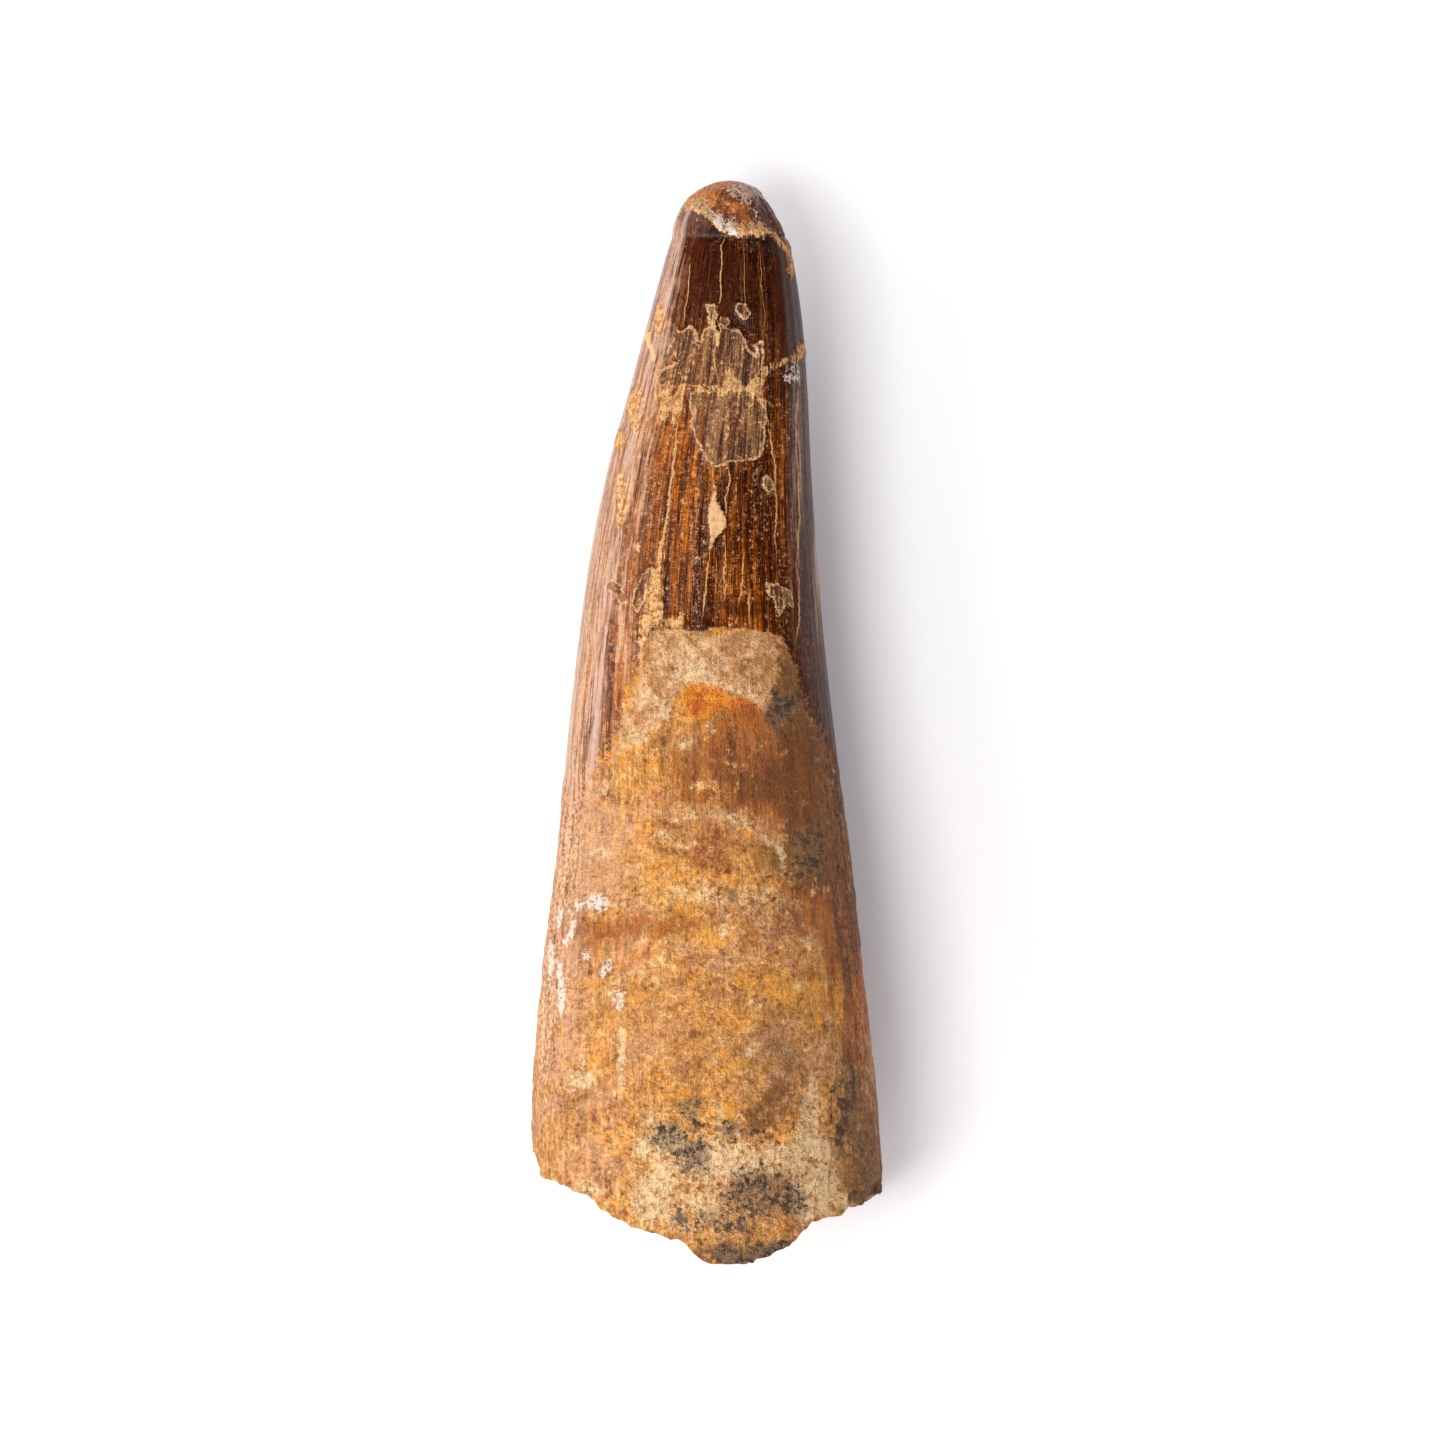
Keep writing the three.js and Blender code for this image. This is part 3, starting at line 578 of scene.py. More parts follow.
def area_field(outlines):
    field = np.full(len(skin_at), -FAR)
    for outline in outlines:
        points = on_skin(outline)
        near = np.all((skin_at > points.min(0) - FAR) & (skin_at < points.max(0) + FAR), axis=1)
        field[near] = np.maximum(field[near], outline_distance(points, skin_at[near]))
    return np.clip(field, -FAR, FAR).reshape(along.shape)


def tone_field(spots):
    total = np.zeros(along.shape)
    for *centre, half_across, half_along, strength in spots:
        ((spot_x, spot_along),) = pixels_to_mm(centre)
        across = (x - spot_x) * PIXELS_PER_MM / half_across
        lengthwise = (tone_along - spot_along) * PIXELS_PER_MM / half_along
        total += strength * np.exp(-TONE_FALLOFF * (across**2 + lengthwise**2))
    return np.clip(total, 0, STRONGEST_TONE)


LINE_GAP = 1.3  # lines nearer to each other than this go into fields of their own
LINE_MARGIN = 0.5
LINE_CHECKS = 12
WOBBLES = ((0.06, 1.4), (0.03, 4.5))  # how far a line strays, and how often
TAPER = 1.2
OVERRUN = 0.2
WIDTH_AT_ENDS = 0.15
THINNEST = 0.012


def clash(one, other):
    """Whether two lines, each as arrays of s and y, run too near each other to share a field."""
    (s1, y1), (s2, y2) = one, other
    start, end = max(y1[0], y2[0]), min(y1[-1], y2[-1])
    if start > end + LINE_MARGIN:
        return False
    both = np.linspace(start - LINE_MARGIN, end + LINE_MARGIN, LINE_CHECKS)
    return np.min(np.abs(np.interp(both, y1, s1) - np.interp(both, y2, s2))) < LINE_GAP


def line_fields(lines, groups, seed):
    """Signed distance to the nearest line over its half width, with near lines kept apart."""
    fields = [np.full(along.shape, LINE_FAR) for _ in range(groups)]
    members = [[] for _ in range(groups)]
    for number, (points, line_half) in enumerate(lines):
        s, y = on_skin(points)[::-1].T
        group = min(range(groups), key=lambda g: sum(clash((s, y), m) for m in members[g]))
        members[group].append((s, y))
        offset = arc - np.interp(along, y, s)
        for layer, (reach, often) in enumerate(WOBBLES):
            at = np.stack([along * often, 0 * along + number, 0 * along], axis=-1)
            offset += reach * noise(at, seed + layer)
        started = smooth(along, y[0] - OVERRUN, y[0] + TAPER)
        ends = np.minimum(started, falling(along, y[-1] - TAPER, y[-1] + OVERRUN))
        width = line_half * lerp(WIDTH_AT_ENDS, 1, ends)
        width *= 1 + 0.5 * noise(grain * [0.2, 0.8, 0.2], seed + 5)
        offset = np.where(ends > 0, offset / np.maximum(width, THINNEST), LINE_FAR)
        offset = np.clip(offset, -LINE_FAR, LINE_FAR)
        fields[group] = np.where(np.abs(offset) < np.abs(fields[group]), offset, fields[group])
    return fields


marks = {kind: area_field(outlines) for kind, outlines in AREAS.items()}
tones = {kind: tone_field(spots) for kind, spots in TONES.items()}
cream = line_fields(CREAM_LINES, 3, 60)
(dark_line,) = line_fields(DARK_LINES, 1, 80)

RAGGED = 0.2
CORE_RAGGED = 0.6  # how ragged the core's edge is, for 1 at the enamel's foot
CLEAR_FOOT = (3.5, 6.8)  # past these the enamel ends in a step, and short of them it thins out
SOFT_EDGE = 0.07

enamel_foot = by_angle(ENAMEL_FOOT, ENAMEL_END)(angle)
ragged = RAGGED * layered(place * 1.1, 3, 27)
past_enamel = enamel_foot - along + ragged
foot_step = smooth(enamel_foot, *CLEAR_FOOT)
enamel = np.clip(-past_enamel * lerp(SOFT_EDGE, 1, foot_step), -FAR, FAR)
into_core = along - by_angle(TIP_RIM, TIP_EDGE)(angle) + CORE_RAGGED * ragged
core = np.clip(into_core, -FAR, FAR)

# ---------------------------------------------------------------- relief
ENAMEL_THICKNESS = 0.34
ENAMEL_FADE = 15.0  # how far from the enamel the root comes up to its level again
TIP_SINK = 0.4
TIP_DENT = 0.85  # how far the core is worn back to the right of the tip
DENT_ANGLE = 12
DENT_SPREAD = 38
DENT_BEGINS = (39.6, 42.6)
DENT_EASES = (43.4, 44.9)
DENT_AT_TIP = 0.4
SHOULDERS = (41, 139)
SHOULDER_HEIGHT = 0.12
SHOULDER_SPREAD = 9.0
LEDGE = 0.12  # half the width of a step
FROM_SIDE = (9, 30)  # degrees from either side over which a step comes in
FLUTES = 24
FLUTE_HEIGHT = 0.014
STRIA_HEIGHT = 0.022
CROWN_DROP = 0.04
ROOT_LUMPS, ROOT_GRIT = 0.12, 0.07
CORE_LUMPS, CORE_GRIT = 0.3, 0.12
# How high the areas stand, how wide their edges are and how gritty they are.
HEIGHTS = {
    "film": (0.07, 0.1, 0.0),
    "sand": (0.13, 0.16, 0.6),
    "putty": (0.1, 0.12, 0.6),
    "chalk": (0.06, 0.12, 0.6),
    "crust": (0.12, 0.25, 0.6),
}
FILM_RIM, FILM_RIM_SPREAD = 0.05, 0.14
SOOT_HOLLOW, SOOT_EDGE = 0.1, (-0.3, 0.5)
CREAM_RIDGE, CREAM_SPREAD = 0.03, 1.4
DARK_GROOVE, DARK_SPREAD = 0.16, 1.6
SHELF_DROP = 0.75  # the skin is broken away this deep along the rim, at the right
SHELF_ANGLES = (34, 40)
SHELF_REACH = (1.1, 1.5)
RIM_WEAR = 0.12
RIM_CHIPS = 0.22
RIM_REACH = 2.2

on_core = smooth(core, -LEDGE, LEDGE)
on_root = smooth(past_enamel, -LEDGE, LEDGE)
on_crown = (1 - on_root) * (1 - on_core)
soft_ledge = LEDGE + 2 * (1 - foot_step)
soft_root = smooth(past_enamel, -soft_ledge, soft_ledge)
near_enamel = np.clip(1 - past_enamel / ENAMEL_FADE, 0, 1)
ledge = smooth(np.degrees(np.arcsin(np.abs(sin))), *FROM_SIDE)
past_rim = along - broken_rim

flutes = np.cos(np.radians(angle) * FLUTES + 1.6 * noise(grain * [0.35, 0.012, 0.35], 3))
striae = noise(grain * [1.7, 0.035, 1.7], 5) + 0.6 * noise(grain * [3.4, 0.09, 3.4], 6)
grit = layered(place * 2.2, 2, 12)

relief = on_crown * (FLUTE_HEIGHT * flutes + STRIA_HEIGHT * striae - CROWN_DROP)
relief -= ledge * (ENAMEL_THICKNESS * soft_root * near_enamel + TIP_SINK * on_core)
for crest in SHOULDERS:
    relief += SHOULDER_HEIGHT * bell(angle - crest, SHOULDER_SPREAD) * (1 - on_core)
relief += on_root * (ROOT_LUMPS * layered(place * 0.55, 4, 11) + ROOT_GRIT * grit)
relief += on_core * (CORE_LUMPS * layered(place * 0.7, 4, 13) + CORE_GRIT * grit)
off_dent = (angle - DENT_ANGLE + 180) % 360 - 180
dent_along = smooth(along, *DENT_BEGINS) * lerp(1, DENT_AT_TIP, smooth(along, *DENT_EASES))
relief -= TIP_DENT * on_core * bell(off_dent, DENT_SPREAD) * dent_along
for kind, (height, blur, gritty) in HEIGHTS.items():
    relief += smooth(marks[kind], -blur, blur) * height * (1 + gritty * grit)
relief += FILM_RIM * bell(marks["film"], FILM_RIM_SPREAD)
relief -= SOOT_HOLLOW * smooth(marks["soot"], *SOOT_EDGE)
relief += CREAM_RIDGE * sum(bell(field, CREAM_SPREAD) for field in cream)
relief -= DARK_GROOVE * bell(dark_line, DARK_SPREAD)
relief -= SHELF_DROP * falling(angle, *SHELF_ANGLES) * falling(past_rim, *SHELF_REACH)
rim_wear = RIM_WEAR + RIM_CHIPS * np.abs(layered(place * 1.4, 3, 31))
relief -= falling(past_rim, 0, RIM_REACH) * rim_wear
skin = np.stack([x + out_x * relief, along, np.maximum(z + out_z * relief, 0)], axis=-1)

# ---------------------------------------------------------------- the broken face
LIP_SHARE = 0.5
DISH_DEPTH = 2.2
DISH_SHARE = 0.7
FACE_LUMPS = 0.9
SMALL_LUMPS = 0.25
LUMPS_RISE = 5  # how fast the lumps begin inside the rim

rim = skin[0]
centre = rim.mean(0)
inward = np.arange(BREAK_RINGS - 1, 0, -1)[:, None] / BREAK_RINGS
face = lerp(rim[None], centre, inward[..., None])
face[..., 1] = centre[1] + (rim[None, :, 1] - centre[1]) * falling(inward, 0, LIP_SHARE)
face[..., 1] += DISH_DEPTH * smooth(inward, 1 - DISH_SHARE, 1)
flat = face * [1, 0, 1]
lumps = FACE_LUMPS * layered(flat * 0.35, 4, 50)
lumps += SMALL_LUMPS * np.abs(layered(flat * 1.3, 3, 55))
face[..., 1] += lumps * np.minimum(1, LUMPS_RISE * inward)
dish_bottom = centre + [0, DISH_DEPTH, 0]
tip_middle, _, _, tip_height = section_at(np.array(TIP_END))
tip_point = np.array([tip_middle, TIP_END, tip_height])

rings = np.concatenate([face, skin])
points = np.concatenate([[dish_bottom], rings.reshape(-1, 3), [tip_point]])


def skin_faces():
    """Quads between the rings, and a fan of triangles at either end."""
    column = np.arange(COLUMNS)
    beside = (column + 1) % COLUMNS
    start = 1 + COLUMNS * np.arange(len(rings))[:, None]
    low, high = start[:-1], start[1:]
    quads = np.stack([low + column, high + column, high + beside, low + beside], axis=-1)
    first_fan = np.stack([0 * column, 1 + column, 1 + beside], axis=-1)
    top, last = start[-1], len(points) - 1
    last_fan = np.stack([top + column, 0 * column + last, top + beside], axis=-1)
    return first_fan.tolist() + quads.reshape(-1, 4).tolist() + last_fan.tolist()


# ---------------------------------------------------------------- the mesh and its fields
SHARP_ANGLE = 62
FACE_STRETCH = [1, 8, 1]  # how the grain is drawn out on the broken face
AT_RIM = 0.15  # what the field of the broken end starts from
# The painted sheen along each shoulder, a highlight laid into the colour: where it lies and how
# wide it is, in degrees, and its strength.
SHEENS = ((141, 6.0, 1.0), (40, 3.5, 0.3))

low, high = np.array(cad_box) * 1000
points = low + (points - points.min(0)) * (high - low) / np.ptp(points, axis=0)

mesh = bpy.data.meshes.new("fossil_tooth")
mesh.from_pydata((points / 1000).tolist(), [], skin_faces())
mesh.validate()
mesh.shade_smooth()
mesh.set_sharp_from_angle(angle=math.radians(SHARP_ANGLE))


def store(name, field, on_face=None):
    """A field of the skin as a mesh attribute, carried on over the broken face."""
    start = field[0] if on_face is None else on_face
    over_face = np.broadcast_to(start, (len(face), *field.shape[1:]))
    flat = np.concatenate([over_face, field]).reshape(-1, *field.shape[2:])
    values = np.concatenate([flat[:1], flat, flat[-1:]]).astype(np.float32)
    vector = values.ndim == 2
    layer = mesh.attributes.new(name, "FLOAT_VECTOR" if vector else "FLOAT", "POINT")
    layer.data.foreach_set("vector" if vector else "value", values.ravel())


store("grain", grain, face * FACE_STRETCH)
store("broken", 0 * along, lerp(AT_RIM, 1, inward))
store("enamel", enamel)
store("core", core)
for kind, field in marks.items():
    store(kind, field)
for kind, field in tones.items():
    store("tone_" + kind, field)
for number, field in enumerate(cream):
    store(f"cream_{number}", field, LINE_FAR)
store("dark_line", dark_line, LINE_FAR)
store("tipward", along)
store("rightward", cos)
# The painted sheen along the shoulders, a highlight laid into the colour.
store("shoulder_painted_sheen", sum(share * bell(angle - at, half) for at, half, share in SHEENS))
tooth = bpy.data.objects.new("fossil_tooth", mesh)
bpy.context.scene.collection.objects.link(tooth)


# ---------------------------------------------------------------- colours
LIGHT_ON_ROOT = 1.48  # how much brighter than its own colour a face turned up looks
LIGHT_ON_CROWN = 1.6


def seen(red, green, blue, light=LIGHT_ON_ROOT):
    """The surface colour that looks like this screen colour, of 0 to 255, under that much light."""
    values = [channel / 255 for channel in (red, green, blue)]
    linear = [v / 12.92 if v <= 0.04045 else ((v + 0.055) / 1.055) ** 2.4 for v in values]
    return tuple(v / light for v in linear) + (1.0,)


def crown(red, green, blue):
    return seen(red, green, blue, LIGHT_ON_CROWN)


ENAMEL_BLACK = crown(34, 10, 2)
ENAMEL_DARK = crown(66, 24, 4)
ENAMEL_RED = crown(112, 42, 8)
ENAMEL_MID = crown(140, 68, 10)
ENAMEL_WARM = crown(196, 108, 20)
ENAMEL_PALE = crown(214, 166, 118)
# Pale dust on the enamel, partly a painted sheen on the left facet.
ENAMEL_DUST_AND_SHEEN = crown(214, 168, 130)
ENAMEL_STRIPE = crown(154, 102, 66)
CREAM = crown(232, 178, 108)
# The colour of the painted highlight along the shoulders.
PAINTED_SHEEN = crown(206, 172, 156)
FILM = crown(158, 110, 66)
FILM_DARK = crown(70, 32, 10)
FILM_LIGHT = crown(222, 178, 124)
CORE_RED = crown(168, 92, 44)
CORE_DARK = crown(100, 52, 28)
CORE_PALE = crown(216, 184, 160)
CORE_ORANGE = crown(214, 132, 62)
SAND = crown(240, 186, 122)
SAND_DARK = crown(190, 118, 58)
PUTTY = crown(238, 192, 136)
PUTTY_DARK = crown(206, 148, 90)
CHALK = seen(242, 226, 208)
CHALK_GREY = seen(170, 146, 118)
ROOT_OCHRE = seen(216, 154, 82)
ROOT_BROWN = seen(186, 118, 58)
ROOT_LIGHT = seen(244, 198, 136)
ROOT_DARK = seen(108, 66, 28)
ROOT_ORANGE = seen(230, 150, 52)
ROOT_TAN = seen(216, 158, 108)
# Dark pits, painted as shade in small hollows.
ROOT_PIT_SHADE = seen(84, 52, 26)
CRUST = seen(202, 142, 88)
CRUST_LIGHT = seen(240, 196, 146)
CRUST_PALE = seen(236, 198, 150)
CRUST_DARK = seen(150, 86, 38)
AMBER = seen(244, 150, 30)
AMBER_DEEP = seen(190, 86, 14)
AMBER_BROWN = seen(158, 84, 30)
BROWN = seen(178, 100, 34)
RUST = seen(142, 72, 30)
OLIVE = seen(142, 98, 44)
GOLD = seen(240, 166, 66)
PALE = seen(236, 204, 154)
# Pink-tan, partly a painted reflection along the edges.
PINK = seen(213, 163, 127)
SOOT = seen(56, 44, 34)
SMOKE = seen(132, 108, 84)
BLACK = seen(38, 26, 16)


# ---------------------------------------------------------------- shader building
class Value:
    """A shader output that can be added, subtracted and multiplied like a number."""

    def __init__(self, paint, socket):
        self.paint, self.socket = paint, socket

    def __add__(self, other):
        return self.paint.math("ADD", self, other)

    def __sub__(self, other):
        return self.paint.math("SUBTRACT", self, other)

    def __rsub__(self, other):
        return self.paint.math("SUBTRACT", other, self)

    def __mul__(self, other):
        return self.paint.math("MULTIPLY", self, other)

    def __abs__(self):
        return self.paint.math("ABSOLUTE", self)

    __radd__, __rmul__ = __add__, __mul__


class Paint:
    """Builds shader nodes as nested calls, which take values, colours and plain numbers."""

    def __init__(self, tree):
        self.tree = tree

    def link(self, value, socket):
        self.tree.links.new(value.socket, socket)

    def node(self, kind, output, inputs=(), **settings):
        """One output of a new node."""
        made = self.tree.nodes.new(kind)
        for key, value in settings.items():
            setattr(made, key, value)
        for place, value in dict(inputs).items():
            if isinstance(value, Value):
                self.link(value, made.inputs[place])
            else:
                made.inputs[place].default_value = value
        return Value(self, made.outputs[output])

    def math(self, operation, a, b=0.0):
        return self.node("ShaderNodeMath", 0, {0: a, 1: b}, operation=operation)

    def vector(self, operation, a, b):
        return self.node("ShaderNodeVectorMath", 0, {0: a, 1: b}, operation=operation)

    def scaled(self, vector, factor):
        return self.node("ShaderNodeVectorMath", 0, {0: vector, 3: factor}, operation="SCALE")

    def field(self, name):
        return self.node("ShaderNodeAttribute", "Fac", attribute_name=name)

    def step(self, value, low, high):
        """From 0 at low to 1 at high, or the other way round when low is above high."""
        inputs = {0: value, 1: min(low, high), 2: max(low, high)}
        inputs |= {3: float(low > high), 4: float(low < high)}
        return self.node("ShaderNodeMapRange", 0, inputs, interpolation_type="SMOOTHSTEP")

    def noise(self, at, scale, detail, roughness, stretch=None, shift=0.0, gain=1.0):
        """Noise from about -1 to 1, with lumps 1 / scale mm across and more contrast with gain."""
        if stretch is not None:
            at = self.vector("MULTIPLY", at, (1.0, stretch, 1.0))
        at = self.vector("ADD", at, (shift, shift, shift))
        inputs = {"Vector": at, "Scale": scale, "Detail": detail, "Roughness": roughness}
        raw = self.node("ShaderNodeTexNoise", "Fac", inputs)
        reach = 0.25 / gain
        inputs = {0: raw, 1: 0.5 - reach, 2: 0.5 + reach, 3: -1.0, 4: 1.0}
        return self.node("ShaderNodeMapRange", 0, inputs)

    def grainy(self, at, scale):
        """A value from -1 to 1 for each of the small irregular grains that fill the space."""
        inputs = {"Vector": at, "Scale": 1.7 * scale, "Detail": 2.0}
        bend = self.node("ShaderNodeTexNoise", "Color", inputs)
        at = self.vector("ADD", at, self.scaled(bend, 0.9 / scale))
        cell = self.node("ShaderNodeTexVoronoi", "Color", {"Vector": at, "Scale": scale})
        return self.node("ShaderNodeSeparateColor", 0, {0: cell}) * 2.0 - 1.0

    def mix(self, share, a, b):
        return self.node("ShaderNodeMix", 2, {0: share, 6: a, 7: b}, data_type="RGBA")

    def blend(self, value, low, high, a, b, most=1.0):
        """From colour a towards b, at most by a share, as a value goes from low to high."""
        share = self.step(value, low, high)
        return self.mix(share if most == 1.0 else most * share, a, b)

    def brighten(self, colour, amount):
        """A colour made lighter or darker by a share of itself."""
        return self.scaled(colour[:3] if isinstance(colour, tuple) else colour, 1.0 + amount)


# ---------------------------------------------------------------- the material
BUMP_HEIGHT = 0.0001  # in metres, unlike the rest
GROWTH_LINES = 90.0  # how closely the growth lines lie on the broken end
IOR = 1.34
SPECULAR_LEVEL = 0.32
METRES_TO_MM = 1000.0


class Skin(Paint):
    """The tooth's material: colour and roughness, laid on in layers."""

    def __init__(self, tree):
        super().__init__(tree)
        self.at = self.scaled(self.node("ShaderNodeTexCoord", "Object"), METRES_TO_MM)
        self.grain_at = self.node("ShaderNodeAttribute", "Vector", attribute_name="grain")
        self.fine = self.noise(self.at, 1.6, 3.0, 0.8, shift=11.0, gain=1.4)
        self.grit = self.noise(self.at, 2.6, 2.0, 0.9, shift=17.0, gain=1.45)
        self.patchy = self.noise(self.at, 0.7, 4.0, 0.8, shift=23.0, gain=1.45)
        self.grains = self.grainy(self.at, 2.9)
        self.streaks = self.along_grain(1.4, 3.0, 0.85, 0.09, shift=71.0, gain=2.1)
        self.rightward = self.field("rightward")
        at_edge = self.step(abs(self.rightward), 0.75, 0.95)
        texture = 0.22 * self.grit + 0.1 * self.grains + 0.14 * self.streaks
        self.texture = texture * (1.0 + 2.6 * at_edge)
        self.on_enamel = self.inside("enamel", 0.06, 0.16)
        self.on_core = self.inside("core", 0.06, 0.22)
        self.colour = self.rough = None

    def along_grain(self, scale, detail, roughness, stretch, **more):
        """Noise that follows the tooth's curve, drawn out along it where stretch is below 1."""
        return self.noise(self.grain_at, scale, detail, roughness, stretch, **more)

    def inside(self, name, blur=0.08, wander=0.1):
        """How far a point is inside an area, from 0 to 1, with an edge that wanders."""
        return self.step(self.field(name) + wander * self.fine, -blur, blur)

    def border(self, name, half, wander):
        """A band of a half width along an area's edge."""
        return self.step(abs(self.field(name) + wander * self.fine), half, half * 0.3)

    def cover(self, share, colour, rough=None):
        """Lays a colour, and a roughness, over what is there already."""
        self.colour = self.mix(share, self.colour, colour)
        if rough is not None:
            self.rough = self.rough * (1 - share) + share * rough

    def tone(self, name, strength, colour, rough=None, high=0.75):
        """A soft change of tone, broken up by the surface's texture."""
        level = self.field("tone_" + name) * (1.0 + 0.75 * self.patchy) * (1.0 + 0.3 * self.grit)
        colour = self.brighten(colour, self.texture)
        self.cover(strength * self.step(level, 0.25, high), colour, rough)

    def dentine(self):
        """The root: ochre and brown, mottled, fibrous along it and granular in places, with painted
        shade that darkens it towards the right.
        """
        zones = self.noise(self.at, 0.2, 4.0, 0.75, gain=1.7)
        mottle = self.noise(self.at, 0.75, 4.0, 0.8, shift=7.0, gain=2.0)
        fibre = self.along_grain(1.7, 3.0, 0.85, 0.1, gain=2.1)
        specks = mottle + 0.6 * self.fine
        base = self.blend(mottle + 0.7 * zones, -0.9, 0.5, ROOT_BROWN, ROOT_OCHRE)
        base = self.blend(zones + self.patchy, 0.3, 1.0, base, ROOT_ORANGE, 0.75)
        base = self.blend(zones, 0.0, -0.8, base, ROOT_TAN, 0.7)
        base = self.blend(specks, 0.55, 1.2, base, ROOT_LIGHT, 0.7)
        base = self.blend(specks, -0.7, -1.3, base, ROOT_DARK, 0.5)
        fibrous = self.field("tone_fibre")
        texture = self.grains * (0.06 + 0.3 * self.field("tone_grain"))
        texture = texture + fibre * (0.1 + 0.3 * fibrous) + self.grit * (0.36 - 0.08 * fibrous)
        # Painted shade: darker towards the right, away from the lamps, lighter to the left, and
        # darker again at the far left edge.
        painted_side_shade = -0.13 * self.rightward - 0.24 * self.step(self.rightward, -0.4, -1.0)
        return self.brighten(base, texture + painted_side_shade)

    def root(self):
        """The dentine with its stains, painted shade in its pits and a pink tone that is partly a
        painted reflection.
        """
        patchy, grit, fine, grains = self.patchy, self.grit, self.fine, self.grains
        self.colour, self.rough = self.dentine(), 0.6
        # Pink-tan dust, partly a painted reflection along the edges.
        self.tone("pink_dust_and_sheen", 0.65, PINK)
        self.tone("red", 0.85, self.blend(self.streaks + 0.6 * patchy, -0.7, 0.6, RUST, BROWN))
        self.tone("yellow", 0.8, GOLD)
        mottled = 0.8 * patchy + 0.5 * grains + 0.5 * grit
        self.tone("pale", 0.8, self.blend(mottled, -1.1, 0.35, ROOT_OCHRE, PALE), 0.75, 0.95)
        self.tone("dark", 0.75, ROOT_DARK)
        self.tone("olive", 0.7, OLIVE)
        smoky = self.field("tone_grey") * (1.0 + patchy)
        self.cover(0.4 * self.step(smoky, 0.4, 1.3), SMOKE, 0.7)
        self.cover(0.75 * self.step(0.8 * fine - 0.5 * grains + smoky, 1.15, 1.7), SOOT, 0.7)
        # Painted shade: dark pits where the grit is lowest, standing in for shade in small hollows.
        pit_shade = grit + 0.45 * patchy - 0.1 * self.field("tone_grain")
        self.cover(0.55 * self.step(pit_shade, -1.0, -1.4), ROOT_PIT_SHADE)

    def bare_enamel(self):
        """Enamel: dark red-brown and glossy, streaked and finely lined along the tooth, with
        painted shade that darkens it towards the right.
        """
        broad = self.along_grain(0.45, 2.0, 0.6, 0.15)
        streak = self.along_grain(1.9, 3.0, 0.85, 0.05, shift=3.0, gain=1.75)
        hair = self.along_grain(1.6, 3.0, 0.75, 0.045, shift=5.0, gain=1.6)
        pale_hair = self.along_grain(1.3, 3.0, 0.8, 0.05, shift=9.0, gain=1.4)
        wrinkle = self.along_grain(1.1, 3.0, 0.85, 2.6, shift=19.0, gain=1.95)
        tipward = self.step(self.field("tipward"), 24.0, 37.0)
        # Painted shade: the enamel's colour runs darker towards the right, away from the lamps.
        level = streak + 0.6 * broad - 0.75 * self.rightward - 0.18
        base = self.blend(level, -1.0, 0.3, ENAMEL_DARK, ENAMEL_MID)
        base = self.blend(level, -0.1, 1.1, base, ENAMEL_WARM)
        dark = self.blend(level, -0.6, 0.9, ENAMEL_BLACK, ENAMEL_RED)
        dark = self.blend(level, 0.9, 1.5, dark, ENAMEL_MID, 0.4)
        base = self.mix(0.92 * tipward, base, dark)
        hairs = self.step(abs(hair + 0.22 * wrinkle), 0.24, 0.06) * self.step(wrinkle, -1.2, 0.0)
        base = self.mix(0.8 * hairs, base, ENAMEL_BLACK)
        hairs = self.step(abs(pale_hair + 0.2 * self.fine), 0.12, 0.02)
        hairs = hairs * self.step(self.grit, -0.1, 0.5) * (1 - 0.8 * tipward)
        base = self.mix(0.75 * hairs, base, ENAMEL_PALE)
        base = self.blend(self.grit + 0.5 * wrinkle, 1.05, 1.4, base, ENAMEL_PALE, 0.35)
        return self.brighten(base, 0.4 * (wrinkle + self.grit))

    def enamel(self):
        """The enamel over the root, with dust in its grain that is partly a painted sheen on the
        left facet, and a painted sheen along its shoulders.
        """
        root_colour, root_rough = self.colour, self.rough
        self.colour = self.bare_enamel()
        self.rough = 0.17 + 0.28 * self.step(self.rightward, 0.5, 0.75)
        self.tone("dark", 0.7, ENAMEL_DARK)
        self.tone("yellow", 0.6, ENAMEL_WARM)
        # Pale dust, partly a painted sheen on the left facet.
        sheen_and_dust_level = self.field("tone_pink_dust_and_sheen") * (1.0 + 0.7 * self.streaks + 0.5 * self.patchy)
        striped = self.streaks + 0.4 * self.fine
        sheen_and_dust = self.blend(striped, -0.5, 0.5, ENAMEL_STRIPE, ENAMEL_DUST_AND_SHEEN)
        sheen_and_dust = self.brighten(sheen_and_dust, 0.22 * self.grit)
        self.cover(0.85 * self.step(sheen_and_dust_level, 0.1, 0.8), sheen_and_dust, 0.32)
        # Painted sheen: a pale highlight laid along the shoulders.
        painted_glint = self.field("shoulder_painted_sheen") * (0.8 + 0.45 * self.streaks)
        self.cover(0.68 * self.step(painted_glint, 0.1, 1.2), PAINTED_SHEEN, 0.26)
        self.colour = self.mix(self.on_enamel, root_colour, self.colour)
        self.rough = root_rough * (1 - self.on_enamel) + self.on_enamel * self.rough

